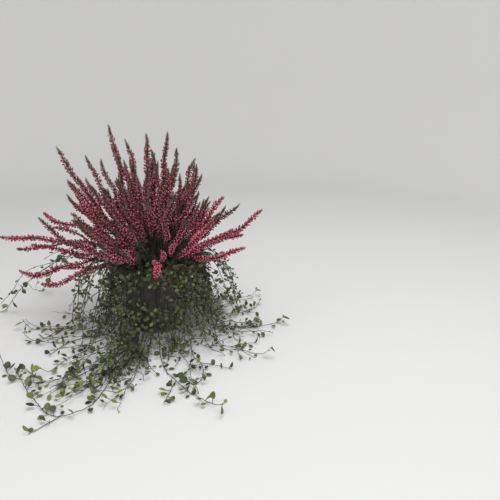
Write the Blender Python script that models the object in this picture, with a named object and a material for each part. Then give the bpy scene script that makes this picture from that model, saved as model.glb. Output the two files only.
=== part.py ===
"""A potted heather underplanted with trailing wire vine, as garden centres sell it.

One round nursery pot holds compost. Woody heather sprays stand in holes in the middle of the compost and fork
into budded flower spikes, with short leafy shoots between them. Wiry vine runners stand in holes near the wall,
climb over the rim, hang down and run out over the surface that the pot stands on.
Metres, +Z up, the origin at the middle of the pot's flat base.
"""

import math
import random

import bpy
import numpy as np

# The pot, a 12 cm nursery size
POT_RADIUS = 0.060
POT_HEIGHT = 0.105
BASE_RADIUS = 0.042
WALL = 0.0015
RIM_BAND = 0.013
RIM_STEP = 0.002
POT_SIDES = 32
DRAIN_SLOTS = 8
DRAIN_WIDTH = 0.009
DRAIN_HEIGHT = 0.004
SHARP_FROM = 30

# The compost, and how deep the stems stand in it
SOIL_TOP = 0.092
SOIL_CROWN = 0.0015
GAP = 0.00035
ROOT_DEPTH = 0.012

# Heather stems: where they stand, how high they rise straight, and the share of the way on that is still wood
TRUNK_RADIUS = 0.0018
TRUNK_RISE = 0.018
TRUNK_REACH = 0.12
TRUNK_STEP = 0.010
ROOTS_WITHIN = 0.034
ROOTS_APART = 0.0082

# Heather spikes: girth and its shares at the leafy foot and the tip, whorls of buds, and the gap between spikes
SPIKE_RADIUS = 0.0047
SHOOT_RADIUS = 0.0030
LEAFY_GIRTH = 0.45
TIP_GIRTH = 0.30
TIP_SHARE = 0.30
FLOWERS_FROM = 0.22
BUD_SPACING = 0.0078
BUD_TURN = math.radians(66)
BACK_TURN = math.radians(20)
LEAF_SPACING = 0.0140
SPIKE_STEP = 0.0065
SPIKE_CLEARANCE = 0.0022

# Forks of a heather spray: the turn from one to the next, and how far each leaves the longest spike's way
FORK_TURN = 2.4
FORK_SET_OFF = 0.80
FORK_SPREAD = 0.40
FORK_SHORTER = (0.66, 0.86)
FORK_CLOSE = 0.021
FORK_START = 0.004
SPIKE_NODE = 0.0032

# Vine stems
RUNNER_RADIUS = 0.0009
SIDE_RADIUS = 0.0007
TAPER = 0.3
RUNNER_ROOT = 0.0475
RUNNER_NODE = 0.0015
BARE_FOOT = 0.022
BEND = 0.0010
LYING = 0.012

# Vine leaves, the steps between them, the share of nodes with a pair, and the gap round each leaf
BLADE = 0.0009
LEAF_LENGTH = 0.0150
LEAF_WIDTH = 0.0105
HANGING_STEP = 0.0172
LYING_STEP = 0.0310
SHOOT_STEP = 0.0172
PAIRED = 0.15
CLEAR = 0.0005
STEM_BALLS = 0.0025
STEM_MARGIN = 0.0006

# Each heather spray: the tip of its longest spike in mm, how far the spike sets off above the straight way to
# its tip (negative sets off lower), how far its tip turns up, and how many shorter spikes fork from it
SPRAYS = [
    (-36, 20, 300, -0.10, 0.05, 3),
    (-4, 14, 309, -0.05, 0.05, 3),
    (27, 20, 311, -0.05, 0.05, 3),
    (47, -14, 290, -0.12, 0.10, 3),
    (4, -42, 258, -0.10, 0.05, 2),
    (-68, 42, 320, -0.20, 0.15, 3),
    (-141, 10, 289, -0.25, 0.20, 2),
    (-112, 54, 272, -0.25, 0.20, 2),
    (-120, -14, 240, -0.30, 0.30, 2),
    (-56, -56, 232, -0.20, 0.20, 2),
    (72, 26, 260, -0.20, 0.15, 2),
    (46, -62, 234, -0.20, 0.10, 1),
    (62, 86, 262, -0.20, 0.15, 2),
    (-24, 104, 280, -0.20, 0.15, 2),
    (114, -24, 220, -0.25, 0.20, 2),
    (-164, -34, 190, -0.30, 0.90, 1),
    (-240, -10, 152, 0.32, -0.10, 2),
    (-163, -52, 92, 0.50, 0.80, 0),
    (-92, -98, 172, 0.00, 0.30, 2),
    (-36, -98, 142, 0.35, -0.25, 1),
    (26, -112, 122, 0.50, -0.30, 0),
    (90, -84, 182, -0.05, 0.25, 1),
    (173, -40, 200, -0.02, 0.15, 1),
    (134, 66, 190, -0.05, 0.30, 2),
    (40, 146, 204, -0.10, 0.30, 2),
    (-84, 138, 198, -0.10, 0.30, 2),
    (-152, 66, 200, -0.10, 0.30, 1),
]
# Leafy shoots without flowers, by the same six values
SHOOTS = [
    (38, 56, 162, 0.05, 0.30, 2),
    (-58, 46, 160, 0.05, 0.30, 2),
    (64, -42, 162, 0.05, 0.30, 2),
    (-8, -64, 160, 0.15, 0.20, 2),
]
# Each vine runner: azimuth in degrees, the way it hangs, its run over the surface in mm, how far that run turns
# in degrees (negative is clockwise seen from above), and the shares of the run between which it turns
RUNNERS = [
    (12, "arching", 60, 40, 0.0, 1.0),
    (40, "close", 110, -30, 0.0, 1.0),
    (70, "arching", 60, 40, 0.0, 1.0),
    (98, "close", 95, 35, 0.0, 1.0),
    (126, "arching", 65, -30, 0.0, 1.0),
    (153, "reaching", 34, 20, 0.0, 1.0),
    (173, "reaching", 40, 25, 0.0, 1.0),
    (192, "arching", 90, -20, 0.0, 1.0),
    (211, "close", 130, -50, 0.2, 1.0),
    (228, "arching", 84, 20, 0.0, 1.0),
    (243, "close", 240, -115, 0.25, 0.95),
    (260, "close", 308, -128, 0.42, 0.75),
    (281, "close", 195, 36, 0.0, 0.8),
    (302, "arching", 100, -60, 0.2, 1.0),
    (324, "arching", 90, 20, 0.0, 1.0),
    (348, "close", 125, 30, 0.0, 1.0),
]
# Radius and height in mm of the knots that a runner passes through from its root to where it lands
HANGS = {
    "close": [(51, 105), (60, 111), (68.5, 103), (73, 72), (80, 30), (91, 5)],
    "arching": [(52, 110), (61, 118), (79, 117), (100, 94), (116, 50), (130, 6)],
    "reaching": [(52, 113), (63, 122), (100, 126), (165, 103), (232, 56), (276, 6)],
}
# Side shoots: how far along the runner they fork, and their length in mm
FORKS = {
    "close": [(0.15, 44), (0.34, 40), (0.72, 48)],
    "arching": [(0.17, 40), (0.36, 40), (0.74, 44)],
    "reaching": [(0.13, 34), (0.40, 32)],
}


def clear_scene():
    for thing in list(bpy.data.objects):
        bpy.data.objects.remove(thing, do_unlink=True)


def finish_of(name, colour, roughness):
    """A Principled BSDF material in the photographed colour."""
    material = bpy.data.materials.new(name)
    material.use_nodes = True
    shader = material.node_tree.nodes["Principled BSDF"]
    shader.inputs["Base Color"].default_value = (*colour, 1.0)
    shader.inputs["Roughness"].default_value = roughness
    shader.inputs["Metallic"].default_value = 0.0
    return material


# Bodies


def mesh_object(name, points, faces, material, collection=None):
    mesh = bpy.data.meshes.new(name)
    mesh.from_pydata([tuple(p) for p in points], [], faces)
    mesh.materials.append(material)
    thing = bpy.data.objects.new(name, mesh)
    (collection or bpy.context.scene.collection).objects.link(thing)
    return thing


def cut_out(thing, pieces):
    """Cuts a set of closed pieces from a body and removes them."""
    group = bpy.data.collections.new(thing.name + "_pieces")
    for number, (points, faces) in enumerate(pieces):
        mesh_object(f"{thing.name}_piece_{number}", points, faces, thing.data.materials[0], group)
    boolean = thing.modifiers.new("boolean", "BOOLEAN")
    boolean.operation = "DIFFERENCE"
    boolean.operand_type = "COLLECTION"
    boolean.collection = group
    boolean.solver = "MANIFOLD"
    bpy.context.view_layer.update()
    seen = thing.evaluated_get(bpy.context.evaluated_depsgraph_get())
    whole = bpy.data.meshes.new_from_object(seen)
    thing.modifiers.clear()
    thing.data = whole
    for piece in list(group.objects):
        bpy.data.objects.remove(piece, do_unlink=True)
    bpy.data.collections.remove(group)
    return thing


def smoothed(thing, sharp_from):
    thing.data.shade_smooth()
    thing.data.set_sharp_from_angle(angle=math.radians(sharp_from))
    return thing


# Paths


def unit(vector):
    return vector / np.linalg.norm(vector)


def lengths_along(points):
    return np.concatenate([[0], np.cumsum(np.linalg.norm(np.diff(points, axis=0), axis=1))])


def spaced(points, places):
    """Points at the given distances along a path."""
    along = lengths_along(points)
    return np.stack([np.interp(places, along, points[:, k]) for k in range(3)], axis=1)


def even(points, spacing):
    """A path with points at about the given spacing."""
    total = lengths_along(points)[-1]
    return spaced(points, np.linspace(0, total, max(3, round(total / spacing) + 1)))


def through(knots):
    """Close points on a Catmull-Rom curve through the knots."""
    knots = np.array(knots, float)
    ends = np.vstack([2 * knots[0] - knots[1], knots, 2 * knots[-1] - knots[-2]])
    t = np.linspace(0, 1, 16, endpoint=False)[:, None]
    parts = []
    for a, b, c, d in zip(ends, ends[1:], ends[2:], ends[3:]):
        parts.append(
            0.5 * (2 * b + (c - a) * t + (2 * a - 5 * b + 4 * c - d) * t**2 + (3 * b - a - 3 * c + d) * t**3)
        )
    return np.vstack(parts + [knots[-1:]])


def bowed(start, setting_off, tip, arriving):
    """Close points on a Bezier curve that leaves start one way and arrives at the tip another way."""
    third = np.linalg.norm(tip - start) / 3
    a, b, c, d = start, start + third * unit(setting_off), tip - third * unit(arriving), tip
    t = np.linspace(0, 1, 40)[:, None]
    return a * (1 - t) ** 3 + 3 * b * t * (1 - t) ** 2 + 3 * c * t**2 * (1 - t) + d * t**3


def directions_along(points):
    ahead = np.gradient(points, axis=0)
    return ahead / np.linalg.norm(ahead, axis=1)[:, None]


def across(tangents, first=None):
    """Two unit vectors square to each tangent, carried along the path without twisting."""
    if first is None:
        first = np.cross(tangents[0], [0.31, 0.94, 0.12])
    sides, ups = [], []
    for tangent in tangents:
        first = unit(first - tangent * (first @ tangent))
        sides.append(first)
        ups.append(np.cross(tangent, first))
    return np.array(sides), np.array(ups)


# Heather paths

UP = np.array([0.0, 0.0, 1.0])


def stem_roots(rows):
    """Where the woody stems stand: towards their tips, further out for low sprays, and evenly apart."""
    innermost, outermost, low_slope = 0.004, ROOTS_WITHIN - 0.002, 1.6
    roots = []
    for x, y, z, *_ in rows:
        reach = math.hypot(x, y)
        slope = reach / max(20, z - 100)
        out = innermost + (outermost - innermost) * min(1.0, slope / low_slope)
        roots.append((out * x / reach, out * y / reach))
    roots = np.array(roots)
    rounds = 200
    for _ in range(rounds):
        between = roots[:, None] - roots[None, :]
        distance = np.linalg.norm(between, axis=2) + 1e-9
        short = np.maximum(0, ROOTS_APART - distance)
        np.fill_diagonal(short, 0)
        roots = roots + 0.4 * (between / distance[..., None] * short[..., None]).sum(axis=1)
        radius = np.linalg.norm(roots, axis=1)
        roots = roots * np.minimum(1, ROOTS_WITHIN / radius)[:, None]
    return roots


def spray_paths(row, root, draw):
    """One spray: its woody stem, then its spikes. The first is the longest, and the others fork from it."""
    x, y, z, lift, hook, forks = row
    tip = np.array([x, y, z]) / 1000
    foot = np.array([root[0], root[1], SOIL_TOP])
    chord = unit(tip - foot - TRUNK_RISE * UP)
    setting_off = unit(chord + lift * UP)
    knee = foot + TRUNK_RISE * UP
    reach = TRUNK_REACH * np.linalg.norm(tip - knee) * setting_off
    trunk = even(through([foot - ROOT_DEPTH * UP, foot, foot + 0.6 * TRUNK_RISE * UP,
                          knee + 0.35 * reach, knee + reach]), TRUNK_STEP)
    longest = even(bowed(trunk[-1], trunk[-1] - trunk[-2], tip, chord + hook * UP), SPIKE_STEP)
    spikes, forks_at = [longest], [0]
    turn = draw.uniform(0, 2 * math.pi)
    for k in range(forks):
        at = 1 + k
        ahead = unit(longest[at + 1] - longest[at - 1])
        first = unit(np.cross(ahead, [0.3, 0.2, 1.0]))
        second = np.cross(ahead, first)
        angle = turn + FORK_TURN * k + draw.uniform(-0.4, 0.4)
        aside = math.cos(angle) * first + math.sin(angle) * second
        left = np.linalg.norm(tip - longest[at])
        end = longest[at] + left * draw.uniform(*FORK_SHORTER) * unit(unit(tip - longest[at]) + FORK_SPREAD * aside)
        arriving = ahead + 0.12 * aside + 0.15 * UP
        spikes.append(even(bowed(longest[at], ahead + FORK_SET_OFF * aside, end, arriving), SPIKE_STEP))
        forks_at.append(at)
    return trunk, spikes, forks_at


def girth(share, radius):
    """Radius of a spike at a share of its length: slim and leafy below, budded, then a fine green tip."""
    body = min(1.0, max(0.0, (share - FLOWERS_FROM) / 0.10))
    tip = min(1.0, (1.0 - share) / TIP_SHARE)
    return radius * (LEAFY_GIRTH + (1 - LEAFY_GIRTH) * body) * (TIP_GIRTH + (1 - TIP_GIRTH) * tip)


def bend_clear(sprays, radii, runners):
    """Bends the spikes away from each other, from other stems and from the runners until all are clear."""
    rounds, rounds_a_list, looked_within, runner_step = 240, 15, 0.022, 0.006
    points, girths, owners, freedom, after_fork, routes = [], [], [], [], [], []

    def add(path, sizes, owner, free, fork_free):
        routes.append((len(points), len(points) + len(path), owner))
        points.extend(path)
        girths.extend(sizes)
        owners.extend([owner] * len(path))
        freedom.extend(free)
        after_fork.extend(fork_free)

    anchors = {}
    for owner, ((trunk, spikes, forks_at), radius) in enumerate(zip(sprays, radii)):
        add(trunk, [TRUNK_RADIUS] * len(trunk), owner, [0] * len(trunk), [0] * len(trunk))
        main = len(routes)
        for k, path in enumerate(spikes):
            shares = np.linspace(0, 1, len(path))
            past = np.minimum(1, lengths_along(path) / FORK_CLOSE)
            if k:
                anchors[len(routes)] = (main, forks_at[k])
            add(path, [girth(s, radius) for s in shares], owner, np.minimum(1, 2.0 * shares), past if k else past**0)
    for number, path in enumerate(runners):
        path = even(path, runner_step)
        add(path, [RUNNER_RADIUS] * len(path), len(sprays) + number, [0] * len(path), [1] * len(path))

    points, girths, owners = np.array(points), np.array(girths), np.array(owners)
    freedom, after_fork = np.array(freedom, float), np.array(after_fork, float)
    of_route = np.concatenate([[k] * (last - first) for k, (first, last, _) in enumerate(routes)])
    movable = [k for k, (first, last, owner) in enumerate(routes) if freedom[first:last].any()]
    for turn in range(rounds):
        if turn % rounds_a_list == 0:
            span = np.sqrt(((points[:, None, :] - points[None, :, :]) ** 2).sum(axis=2))
            near = (span < looked_within) & (of_route[:, None] != of_route[None, :]) & (freedom[:, None] > 0)
            one, other = np.nonzero(near)
            wanted = girths[one] + girths[other] + SPIKE_CLEARANCE
            at_fork = np.minimum(after_fork[one], after_fork[other])
            wanted = np.where(owners[one] == owners[other], wanted * at_fork, wanted)
        between = points[one] - points[other]
        distance = np.linalg.norm(between, axis=1) + 1e-9
        share = 0.5 * np.maximum(0, wanted - distance) / distance * freedom[one]
        push = np.zeros_like(points)
        np.add.at(push, one, between * share[:, None])
        for k in movable:
            first, last, _ = routes[k]
            run = push[first:last].copy()
            for _ in range(4):
                run[1:-1] = (run[:-2] + 2 * run[1:-1] + run[2:]) / 4
                run[-1] = (run[-2] + run[-1]) / 2
                run[0] = 0
            points[first:last] += run
            if k in anchors:
                main, at = anchors[k]
                points[first:last] += points[routes[main][0] + at] - points[first]
    moved = [[] for _ in sprays]
    for k in movable:
        first, last, owner = routes[k]
        moved[owner].append(points[first:last])
    return moved


# Skins


class Skin:
    """The closed skin of a plant: three-cornered rings joined by bands, with triangles left open for growths."""

    def __init__(self):
        self.points, self.faces = [], []

    def add(self, points):
        first = len(self.points)
        self.points.extend(points)
        return list(range(first, len(self.points)))

    def ring(self, centre, side, up, radius, angle):
        turns = [angle + 2 * math.pi * i / 3 for i in range(3)]
        return self.add([centre + radius * (math.cos(t) * side + math.sin(t) * up) for t in turns])

    def band(self, low, high, left_open=()):
        for i in range(3):
            j = (i + 1) % 3
            if i not in left_open:
                self.faces.append((low[i], low[j], high[i]))
            self.faces.append((low[j], high[j], high[i]))


def grow(skin, path, radius_at, stops, node, foot=None):
    """Grows a stem along a path. Each stop is a place, a turn and growths. A plain ring is turned by its turn. A
    stop with growths is a pair of rings, a node apart, and each growth comes out of the triangle that faces it."""
    fine = even(path, 0.001)
    along = lengths_along(fine)
    start = None if foot is None else skin.points[foot[0]] - sum(skin.points[i] for i in foot) / 3
    sides, ups = across(directions_along(fine), start)
    angle, last = 0.0, foot
    if foot is None:
        last = skin.ring(fine[0], sides[0], ups[0], radius_at(0), 0.0)
        skin.faces.append((last[2], last[1], last[0]))
    for place, turn, growths in sorted(stops, key=lambda stop: stop[0]):
        k = int(np.searchsorted(along, place - 1e-9))
        if growths:
            facing = [math.atan2(way @ ups[k], way @ sides[k]) - math.pi / 3 for way, _ in growths]
            angle += (facing[0] - angle + BACK_TURN) % (2 * math.pi / 3) - BACK_TURN
        else:
            angle += turn
        low = skin.ring(fine[k], sides[k], ups[k], radius_at(place), angle)
        skin.band(last, low)
        last = low
        if growths:
            m = min(len(fine) - 1, int(np.searchsorted(along, place + node - 1e-9)))
            last = skin.ring(fine[m], sides[m], ups[m], radius_at(place), angle)
            corners = [round((way - angle) / (2 * math.pi / 3)) % 3 for way in facing]
            skin.band(low, last, corners)
            for (_, growth), i in zip(growths, corners):
                growth(skin, (low[i], low[(i + 1) % 3], last[i]))
    tip = skin.add([fine[-1]])[0]
    skin.faces += [(last[i], last[(i + 1) % 3], tip) for i in range(3)]


def skin_object(name, skin, material):
    return mesh_object(name, skin.points, skin.faces, material)


# Heather solids


def spike_stops(length, forks):
    """Whorls of three buds, each set between the last one's, over a slim leafy foot with the forks in it."""
    leafy = list(np.arange(LEAF_SPACING, FLOWERS_FROM * length, LEAF_SPACING))
    budded = max(4, round((1 - FLOWERS_FROM) * length / BUD_SPACING))
    places = leafy + list(np.linspace(max(0.010, FLOWERS_FROM * length), 0.965 * length, budded))
    stops = [(place, BUD_TURN, []) for place in places]
    for place, growth in forks:
        stops = [s for s in stops if not place - FORK_START < s[0] < place + SPIKE_NODE + FORK_START]
        stops.append((place, 0.0, [growth]))
    return stops


def grow_spray(name, trunk, spikes, forks_at, radius, material):
    """The woody stem runs on into the longest spike, and the shorter spikes grow out of that one."""
    longest, others = spikes[0], spikes[1:]
    wood = lengths_along(trunk)[-1]
    length = lengths_along(longest)[-1]
    forks = []
    for path, at in zip(others, forks_at[1:]):
        size = lengths_along(path)[-1]

        def growth(skin, foot, path=path, size=size):
            clear_path = spaced(path, np.linspace(FORK_START, size, len(path) * 2))
            inner = [(place - FORK_START, turn, more) for place, turn, more in spike_stops(size, [])]
            inner = [stop for stop in inner if stop[0] > 0.005]
            grow(skin, clear_path, lambda at: girth((at + FORK_START) / size, radius), inner, SPIKE_NODE, foot)

        forks.append((lengths_along(longest)[at] - 0.5 * SPIKE_NODE, (path[2] - path[0], growth)))
    stops = [(wood * share, 0.0, []) for share in (0.28, 0.62)]
    stops += [(wood + place, turn, growths) for place, turn, growths in spike_stops(length, forks)]

    def radius_at(place):
        return TRUNK_RADIUS if place < wood else girth((place - wood) / length, radius)

    skin = Skin()
    grow(skin, np.vstack([trunk, longest[1:]]), radius_at, stops, SPIKE_NODE)
    return skin_object(name, skin, material)


# Vine paths


def runner_path(row, laid):
    """A runner from its root, over the rim, down, and out over the surface and the runners already laid there."""
    azimuth, hang, run, turn, turns_from, turns_to = row
    azimuth, run, turn = math.radians(azimuth), run / 1000, math.radians(turn)
    knots = [(RUNNER_ROOT, SOIL_TOP - ROOT_DEPTH), (RUNNER_ROOT, SOIL_TOP), (RUNNER_ROOT, SOIL_TOP + 0.006)]
    knots += [(r / 1000, z / 1000) for r, z in HANGS[hang]]
    hanging = [(r * math.cos(azimuth), r * math.sin(azimuth), z) for r, z in knots]
    low = RUNNER_RADIUS + 0.0003
    place, lying, steps = np.array(hanging[-1][:2]), [], max(4, round(run / 0.014))
    for k in range(1, steps + 1):
        share = k / steps
        turned = min(1.0, max(0.0, (share - turns_from) / (turns_to - turns_from)))
        way = azimuth + turn * turned * turned * (3 - 2 * turned)
        place = place + run / steps * np.array([math.cos(way), math.sin(way)])
        wave = 0.0011 * (1 - math.cos(2 * math.pi * share * run / 0.065))
        lift = 0.014 * max(0.0, (share - 0.84) / 0.16) ** 1.5
        lying.append((place[0], place[1], low + wave + lift))
    path = through(hanging + lying)
    path[:, 2] = np.maximum(path[:, 2], low)
    if laid:
        others = np.vstack(laid)
        flat = np.linalg.norm(path[:, None, :2] - others[None, :, :2], axis=2)
        nearest = flat.argmin(axis=1)
        near = flat.min(axis=1)
        over = others[nearest, 2] + 2 * RUNNER_RADIUS + 0.0012
        bump = np.clip(1 - (near / 0.016) ** 2, 0, 1)
        lying_part = path[:, 2] < LYING
        raised = path[:, 2] + bump * np.maximum(0, over - path[:, 2])
        path[:, 2] = np.where(lying_part & (others[nearest, 2] < LYING), raised, path[:, 2])
    laid.append(path)
    return even(path, 0.004)


def side_path(start, along, side, length, low):
    """A side shoot that leaves its runner at about 50 degrees and droops a little, staying above the surface."""
    aim = unit(0.65 * along + 0.8 * unit(side - along * (side @ along)))
    points, steps, droop = [start], 3, 0.16
    for k in range(steps):
        aim = unit(aim - droop * UP)
        reached = points[-1] + length / steps * aim
        reached[2] = max(reached[2], low)
        points.append(reached)
    return np.array(points)


# Vine solids


class Crowd:
    """The space already taken, as balls with the name of what they belong to."""

    def __init__(self):
        self.centres, self.radii, self.owners = [], [], []

    def add(self, centres, radii, owner):
        self.centres.extend(centres)
        self.radii.extend(radii)
        self.owners.extend([owner] * len(centres))

    def room(self, centres, radii, owner, base):
        """The smallest gap from these balls to everything but the owner's own stems round the base."""
        taken = np.array(self.centres)
        own = np.array(self.owners) == owner
        own_here = own & (np.linalg.norm(taken - base, axis=1) < 0.005)
        between = np.linalg.norm(np.array(centres)[:, None, :] - taken[None, :, :], axis=2)
        gaps = between - np.array(radii)[:, None] * np.where(own, 0.6, 1)[None, :] - np.array(self.radii)[None, :]
        return gaps[:, ~own_here].min()


def in_pot(balls, sizes):
    """True if a ball touches the pot or the compost."""
    for (x, y, z), size in zip(balls, sizes):
        radius = math.hypot(x, y)
        if z < SOIL_TOP + SOIL_CROWN + size + CLEAR and radius < wall_radius(z) + size + CLEAR:
            return True
        if z < POT_HEIGHT + size + CLEAR and abs(radius - POT_RADIUS + WALL) < 0.002 + size + CLEAR:
            return True
    return False


class Leaf:
    """A small round blade, flat below and crowned above, that grows out of a triangle of its stem."""

    def __init__(self, base, aim, normal, length, width):
        self.aim = aim
        side = np.cross(normal, aim)
        self.rim = [base + x * length * aim + y * width * side
                    for x, y in ((0.42, 0.46), (0.80, 0.38), (1.0, 0.0), (0.80, -0.38), (0.42, -0.46))]
        self.crown = base + 0.62 * length * aim + BLADE * normal
        self.balls = [base + 0.34 * length * aim, base + 0.66 * length * aim]
        self.sizes = [0.26 * width, 0.56 * width]
        self.lowest = min(point[2] for point in self.rim + [self.crown])
        self.in_pot = in_pot(self.balls, self.sizes) or in_pot(self.rim, [0.001] * 5)

    def __call__(self, skin, foot):
        a, b, c = foot
        right, far_right, tip, far_left, left, crown = skin.add(self.rim + [self.crown])
        skin.faces += [(a, b, right), (a, right, left), (left, right, far_right), (left, far_right, far_left),
                       (far_left, far_right, tip), (b, c, right), (c, a, left), (right, c, crown),
                       (far_right, right, crown), (tip, far_right, crown), (far_left, tip, crown),
                       (left, far_left, crown), (c, left, crown)]


def leaves_on(path, owner, crowd, draw, places, size):
    """Stops for leaves along a stem, one or two to a node, each turned until it is clear of everything else."""
    along = lengths_along(path)
    ahead = directions_along(path)
    stops, turn = [], draw.uniform(0, 2 * math.pi)
    for place in places:
        base = spaced(path, [place])[0]
        way = unit(np.array([np.interp(place, along, ahead[:, k]) for k in range(3)]))
        side = unit(np.cross(way, [0.05, 0.02, 1.0]))
        up = np.cross(side, way)
        growths = []
        for _ in range(2 if draw.random() < PAIRED else 1):
            length = LEAF_LENGTH * size * draw.uniform(0.80, 1.08)
            width = LEAF_WIDTH * size * draw.uniform(0.88, 1.06)
            lean, roll = draw.uniform(0.2, 0.65), draw.uniform(-0.6, 0.6)
            for tries in range(3 if growths else 16):
                angle = turn + tries * 0.45 * (1 if tries % 2 else -1)
                if growths:
                    angle = turn + (2 * math.pi / 3 if tries % 2 else -2 * math.pi / 3)
                out = math.cos(angle) * side + math.sin(angle) * up
                aim = unit(out + lean * way)
                face = unit(way - aim * (way @ aim))
                face = math.cos(roll) * face + math.sin(roll) * np.cross(aim, face)
                leaf = Leaf(base + 0.7 * RUNNER_NODE * way, aim, face, length, width)
                if leaf.lowest < 0.0004 or leaf.in_pot:
                    continue
                if crowd.room(leaf.balls, leaf.sizes, owner, base) > CLEAR:
                    growths.append((out, leaf))
                    crowd.add(leaf.balls, leaf.sizes, owner + " leaf")
                    turn = angle
                    break
        stops.append((place, 0.3, growths))
        turn += math.pi + draw.uniform(-0.7, 0.7)
    return stops


def side_shoots(path, owner, hang, crowd, draw):
    """Side shoots of a runner, each as a stop with the growth that makes the shoot and its leaves."""
    along = lengths_along(path)
    ahead = directions_along(path)
    stops = []
    for k, (share, length) in enumerate(FORKS[hang]):
        place = share * along[-1]
        start = spaced(path, [place])[0]
        way = unit(np.array([np.interp(place, along, ahead[:, i]) for i in range(3)]))
        outward = unit(start * [1, 1, 0])
        for sign in (1, -1) if k % 2 else (-1, 1):
            side = sign * np.cross(way, UP) + 0.25 * UP + 0.2 * outward
            shoot = side_path(start, way, side, length * draw.uniform(0.85, 1.1) / 1000, SIDE_RADIUS + 0.0006)
            fine = even(shoot, 0.004)[2:]
            sizes = [SIDE_RADIUS] * len(fine)
            clear = crowd.room(fine, [s + 0.001 for s in sizes], owner, start) > CLEAR
            if clear and not in_pot(fine, sizes):
                kept = even(shoot, STEM_BALLS)[3:]
                crowd.add(kept, [SIDE_RADIUS + STEM_MARGIN] * len(kept), owner)
                size = lengths_along(shoot)[-1]
                places = np.linspace(0.013, size - 0.004, max(2, round(size / SHOOT_STEP)))

                def growth(skin, foot, shoot=shoot, places=places, size=size):
                    leaves = leaves_on(shoot, owner, crowd, draw, places, 0.9)
                    grow(skin, shoot, lambda at: SIDE_RADIUS * (1 - TAPER * at / size), leaves, RUNNER_NODE, foot)

                stops.append((place, 0.0, [(shoot[1] - start, growth)]))
                break
    return stops


def rings_in_bends(path, places):
    """Plain stops halfway between places where the path between them bends away from the straight line."""
    stops = []
    for low, high in zip(places, places[1:]):
        first, middle, last = spaced(path, [low, (low + high) / 2, high])
        if np.linalg.norm(middle - (first + last) / 2) > BEND:
            stops.append(((low + high) / 2, 0.3, []))
    return stops


def grow_runner(name, path, hang, crowd, draw, material):
    total = lengths_along(path)[-1]
    shoots = side_shoots(path, name, hang, crowd, draw)
    fine = even(path, 0.002)
    hung = lengths_along(fine)[np.argmax((fine[:, 2] < LYING) & (np.arange(len(fine)) > 20))]
    places = list(np.arange(BARE_FOOT, hung - 0.5 * HANGING_STEP, HANGING_STEP))
    places += list(np.linspace(hung, total - 0.005, max(2, round((total - hung) / LYING_STEP))))
    places = [p for p in places if all(abs(p - shoot[0]) > 0.005 for shoot in shoots)]
    stops = [(ROOT_DEPTH, 0.2, [])] + leaves_on(path, name, crowd, draw, places, 1.0) + shoots
    stops += rings_in_bends(path, sorted(stop[0] for stop in stops))
    skin = Skin()
    grow(skin, path, lambda at: RUNNER_RADIUS * (1 - TAPER * at / total), stops, RUNNER_NODE)
    return skin_object(name, skin, material)


# Pot and compost


def turned_body(name, profile, material):
    """A body turned about Z from a profile of (radius, height) whose ends lie on the axis."""
    points, faces = [(0, 0, profile[0][1])], []
    middle = profile[1:-1]
    for radius, height in middle:
        for i in range(POT_SIDES):
            angle = 2 * math.pi * i / POT_SIDES
            points.append((radius * math.cos(angle), radius * math.sin(angle), height))
    points.append((0, 0, profile[-1][1]))
    last = 1 + (len(middle) - 1) * POT_SIDES
    for i in range(POT_SIDES):
        j = (i + 1) % POT_SIDES
        faces.append((0, 1 + j, 1 + i))
        for k in range(len(middle) - 1):
            low, high = 1 + k * POT_SIDES, 1 + (k + 1) * POT_SIDES
            faces.append((low + i, low + j, high + j, high + i))
        faces.append((last + i, last + j, len(points) - 1))
    return mesh_object(name, points, faces, material)


PRISM_FACES = [(3, 2, 1, 0), (4, 5, 6, 7), (0, 1, 5, 4), (1, 2, 6, 5), (2, 3, 7, 6), (3, 0, 4, 7)]


def upright_prism(x, y, low, high, radius):
    """A four-sided prism, to cut a stem's hole."""
    ring = [(x + radius, y), (x, y + radius), (x - radius, y), (x, y - radius)]
    points = [(*p, low) for p in ring] + [(*p, high) for p in ring]
    return points, PRISM_FACES


def drain_boxes():
    """Boxes that notch the corner between the pot's base and wall."""
    boxes = []
    for k in range(DRAIN_SLOTS):
        angle = 2 * math.pi * (k + 0.5) / DRAIN_SLOTS
        out = np.array([math.cos(angle), math.sin(angle), 0])
        side = np.array([-math.sin(angle), math.cos(angle), 0])
        near, far, half = 0.82 * BASE_RADIUS, BASE_RADIUS + 0.004, DRAIN_WIDTH / 2
        corners = [(near, -half), (far, -half), (far, half), (near, half)]
        points = [r * out + s * side + z * UP for z in (-0.002, DRAIN_HEIGHT) for r, s in corners]
        boxes.append((points, PRISM_FACES))
    return boxes


def wall_radius(height):
    """Outer radius of the pot's tapering wall below the rim band."""
    share = min(1.0, height / (POT_HEIGHT - RIM_BAND))
    return BASE_RADIUS + (POT_RADIUS - RIM_STEP - BASE_RADIUS) * share


def make_pot(material):
    step = POT_HEIGHT - RIM_BAND
    profile = [
        (0, 0),
        (BASE_RADIUS - 0.001, 0),
        (wall_radius(0.001), 0.001),
        (wall_radius(step), step),
        (POT_RADIUS, step + 0.001),
        (POT_RADIUS, POT_HEIGHT),
        (POT_RADIUS - WALL, POT_HEIGHT),
        (wall_radius(step) - WALL, step),
        (wall_radius(WALL) - WALL, WALL),
        (0, WALL),
    ]
    return smoothed(cut_out(turned_body("pot", profile, material), drain_boxes()), SHARP_FROM)


def make_compost(roots, material):
    inner = WALL + GAP + 0.0003
    profile = [
        (0, WALL + GAP),
        (wall_radius(WALL) - inner, WALL + GAP),
        (wall_radius(SOIL_TOP) - inner, SOIL_TOP),
        (0, SOIL_TOP + SOIL_CROWN),
    ]
    holes = []
    for x, y, radius in roots:
        wide = (radius + GAP) * math.sqrt(2)
        holes.append(upright_prism(x, y, SOIL_TOP - ROOT_DEPTH - GAP, SOIL_TOP + 0.01, wide))
    return smoothed(cut_out(turned_body("compost", profile, material), holes), SHARP_FROM)


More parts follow.
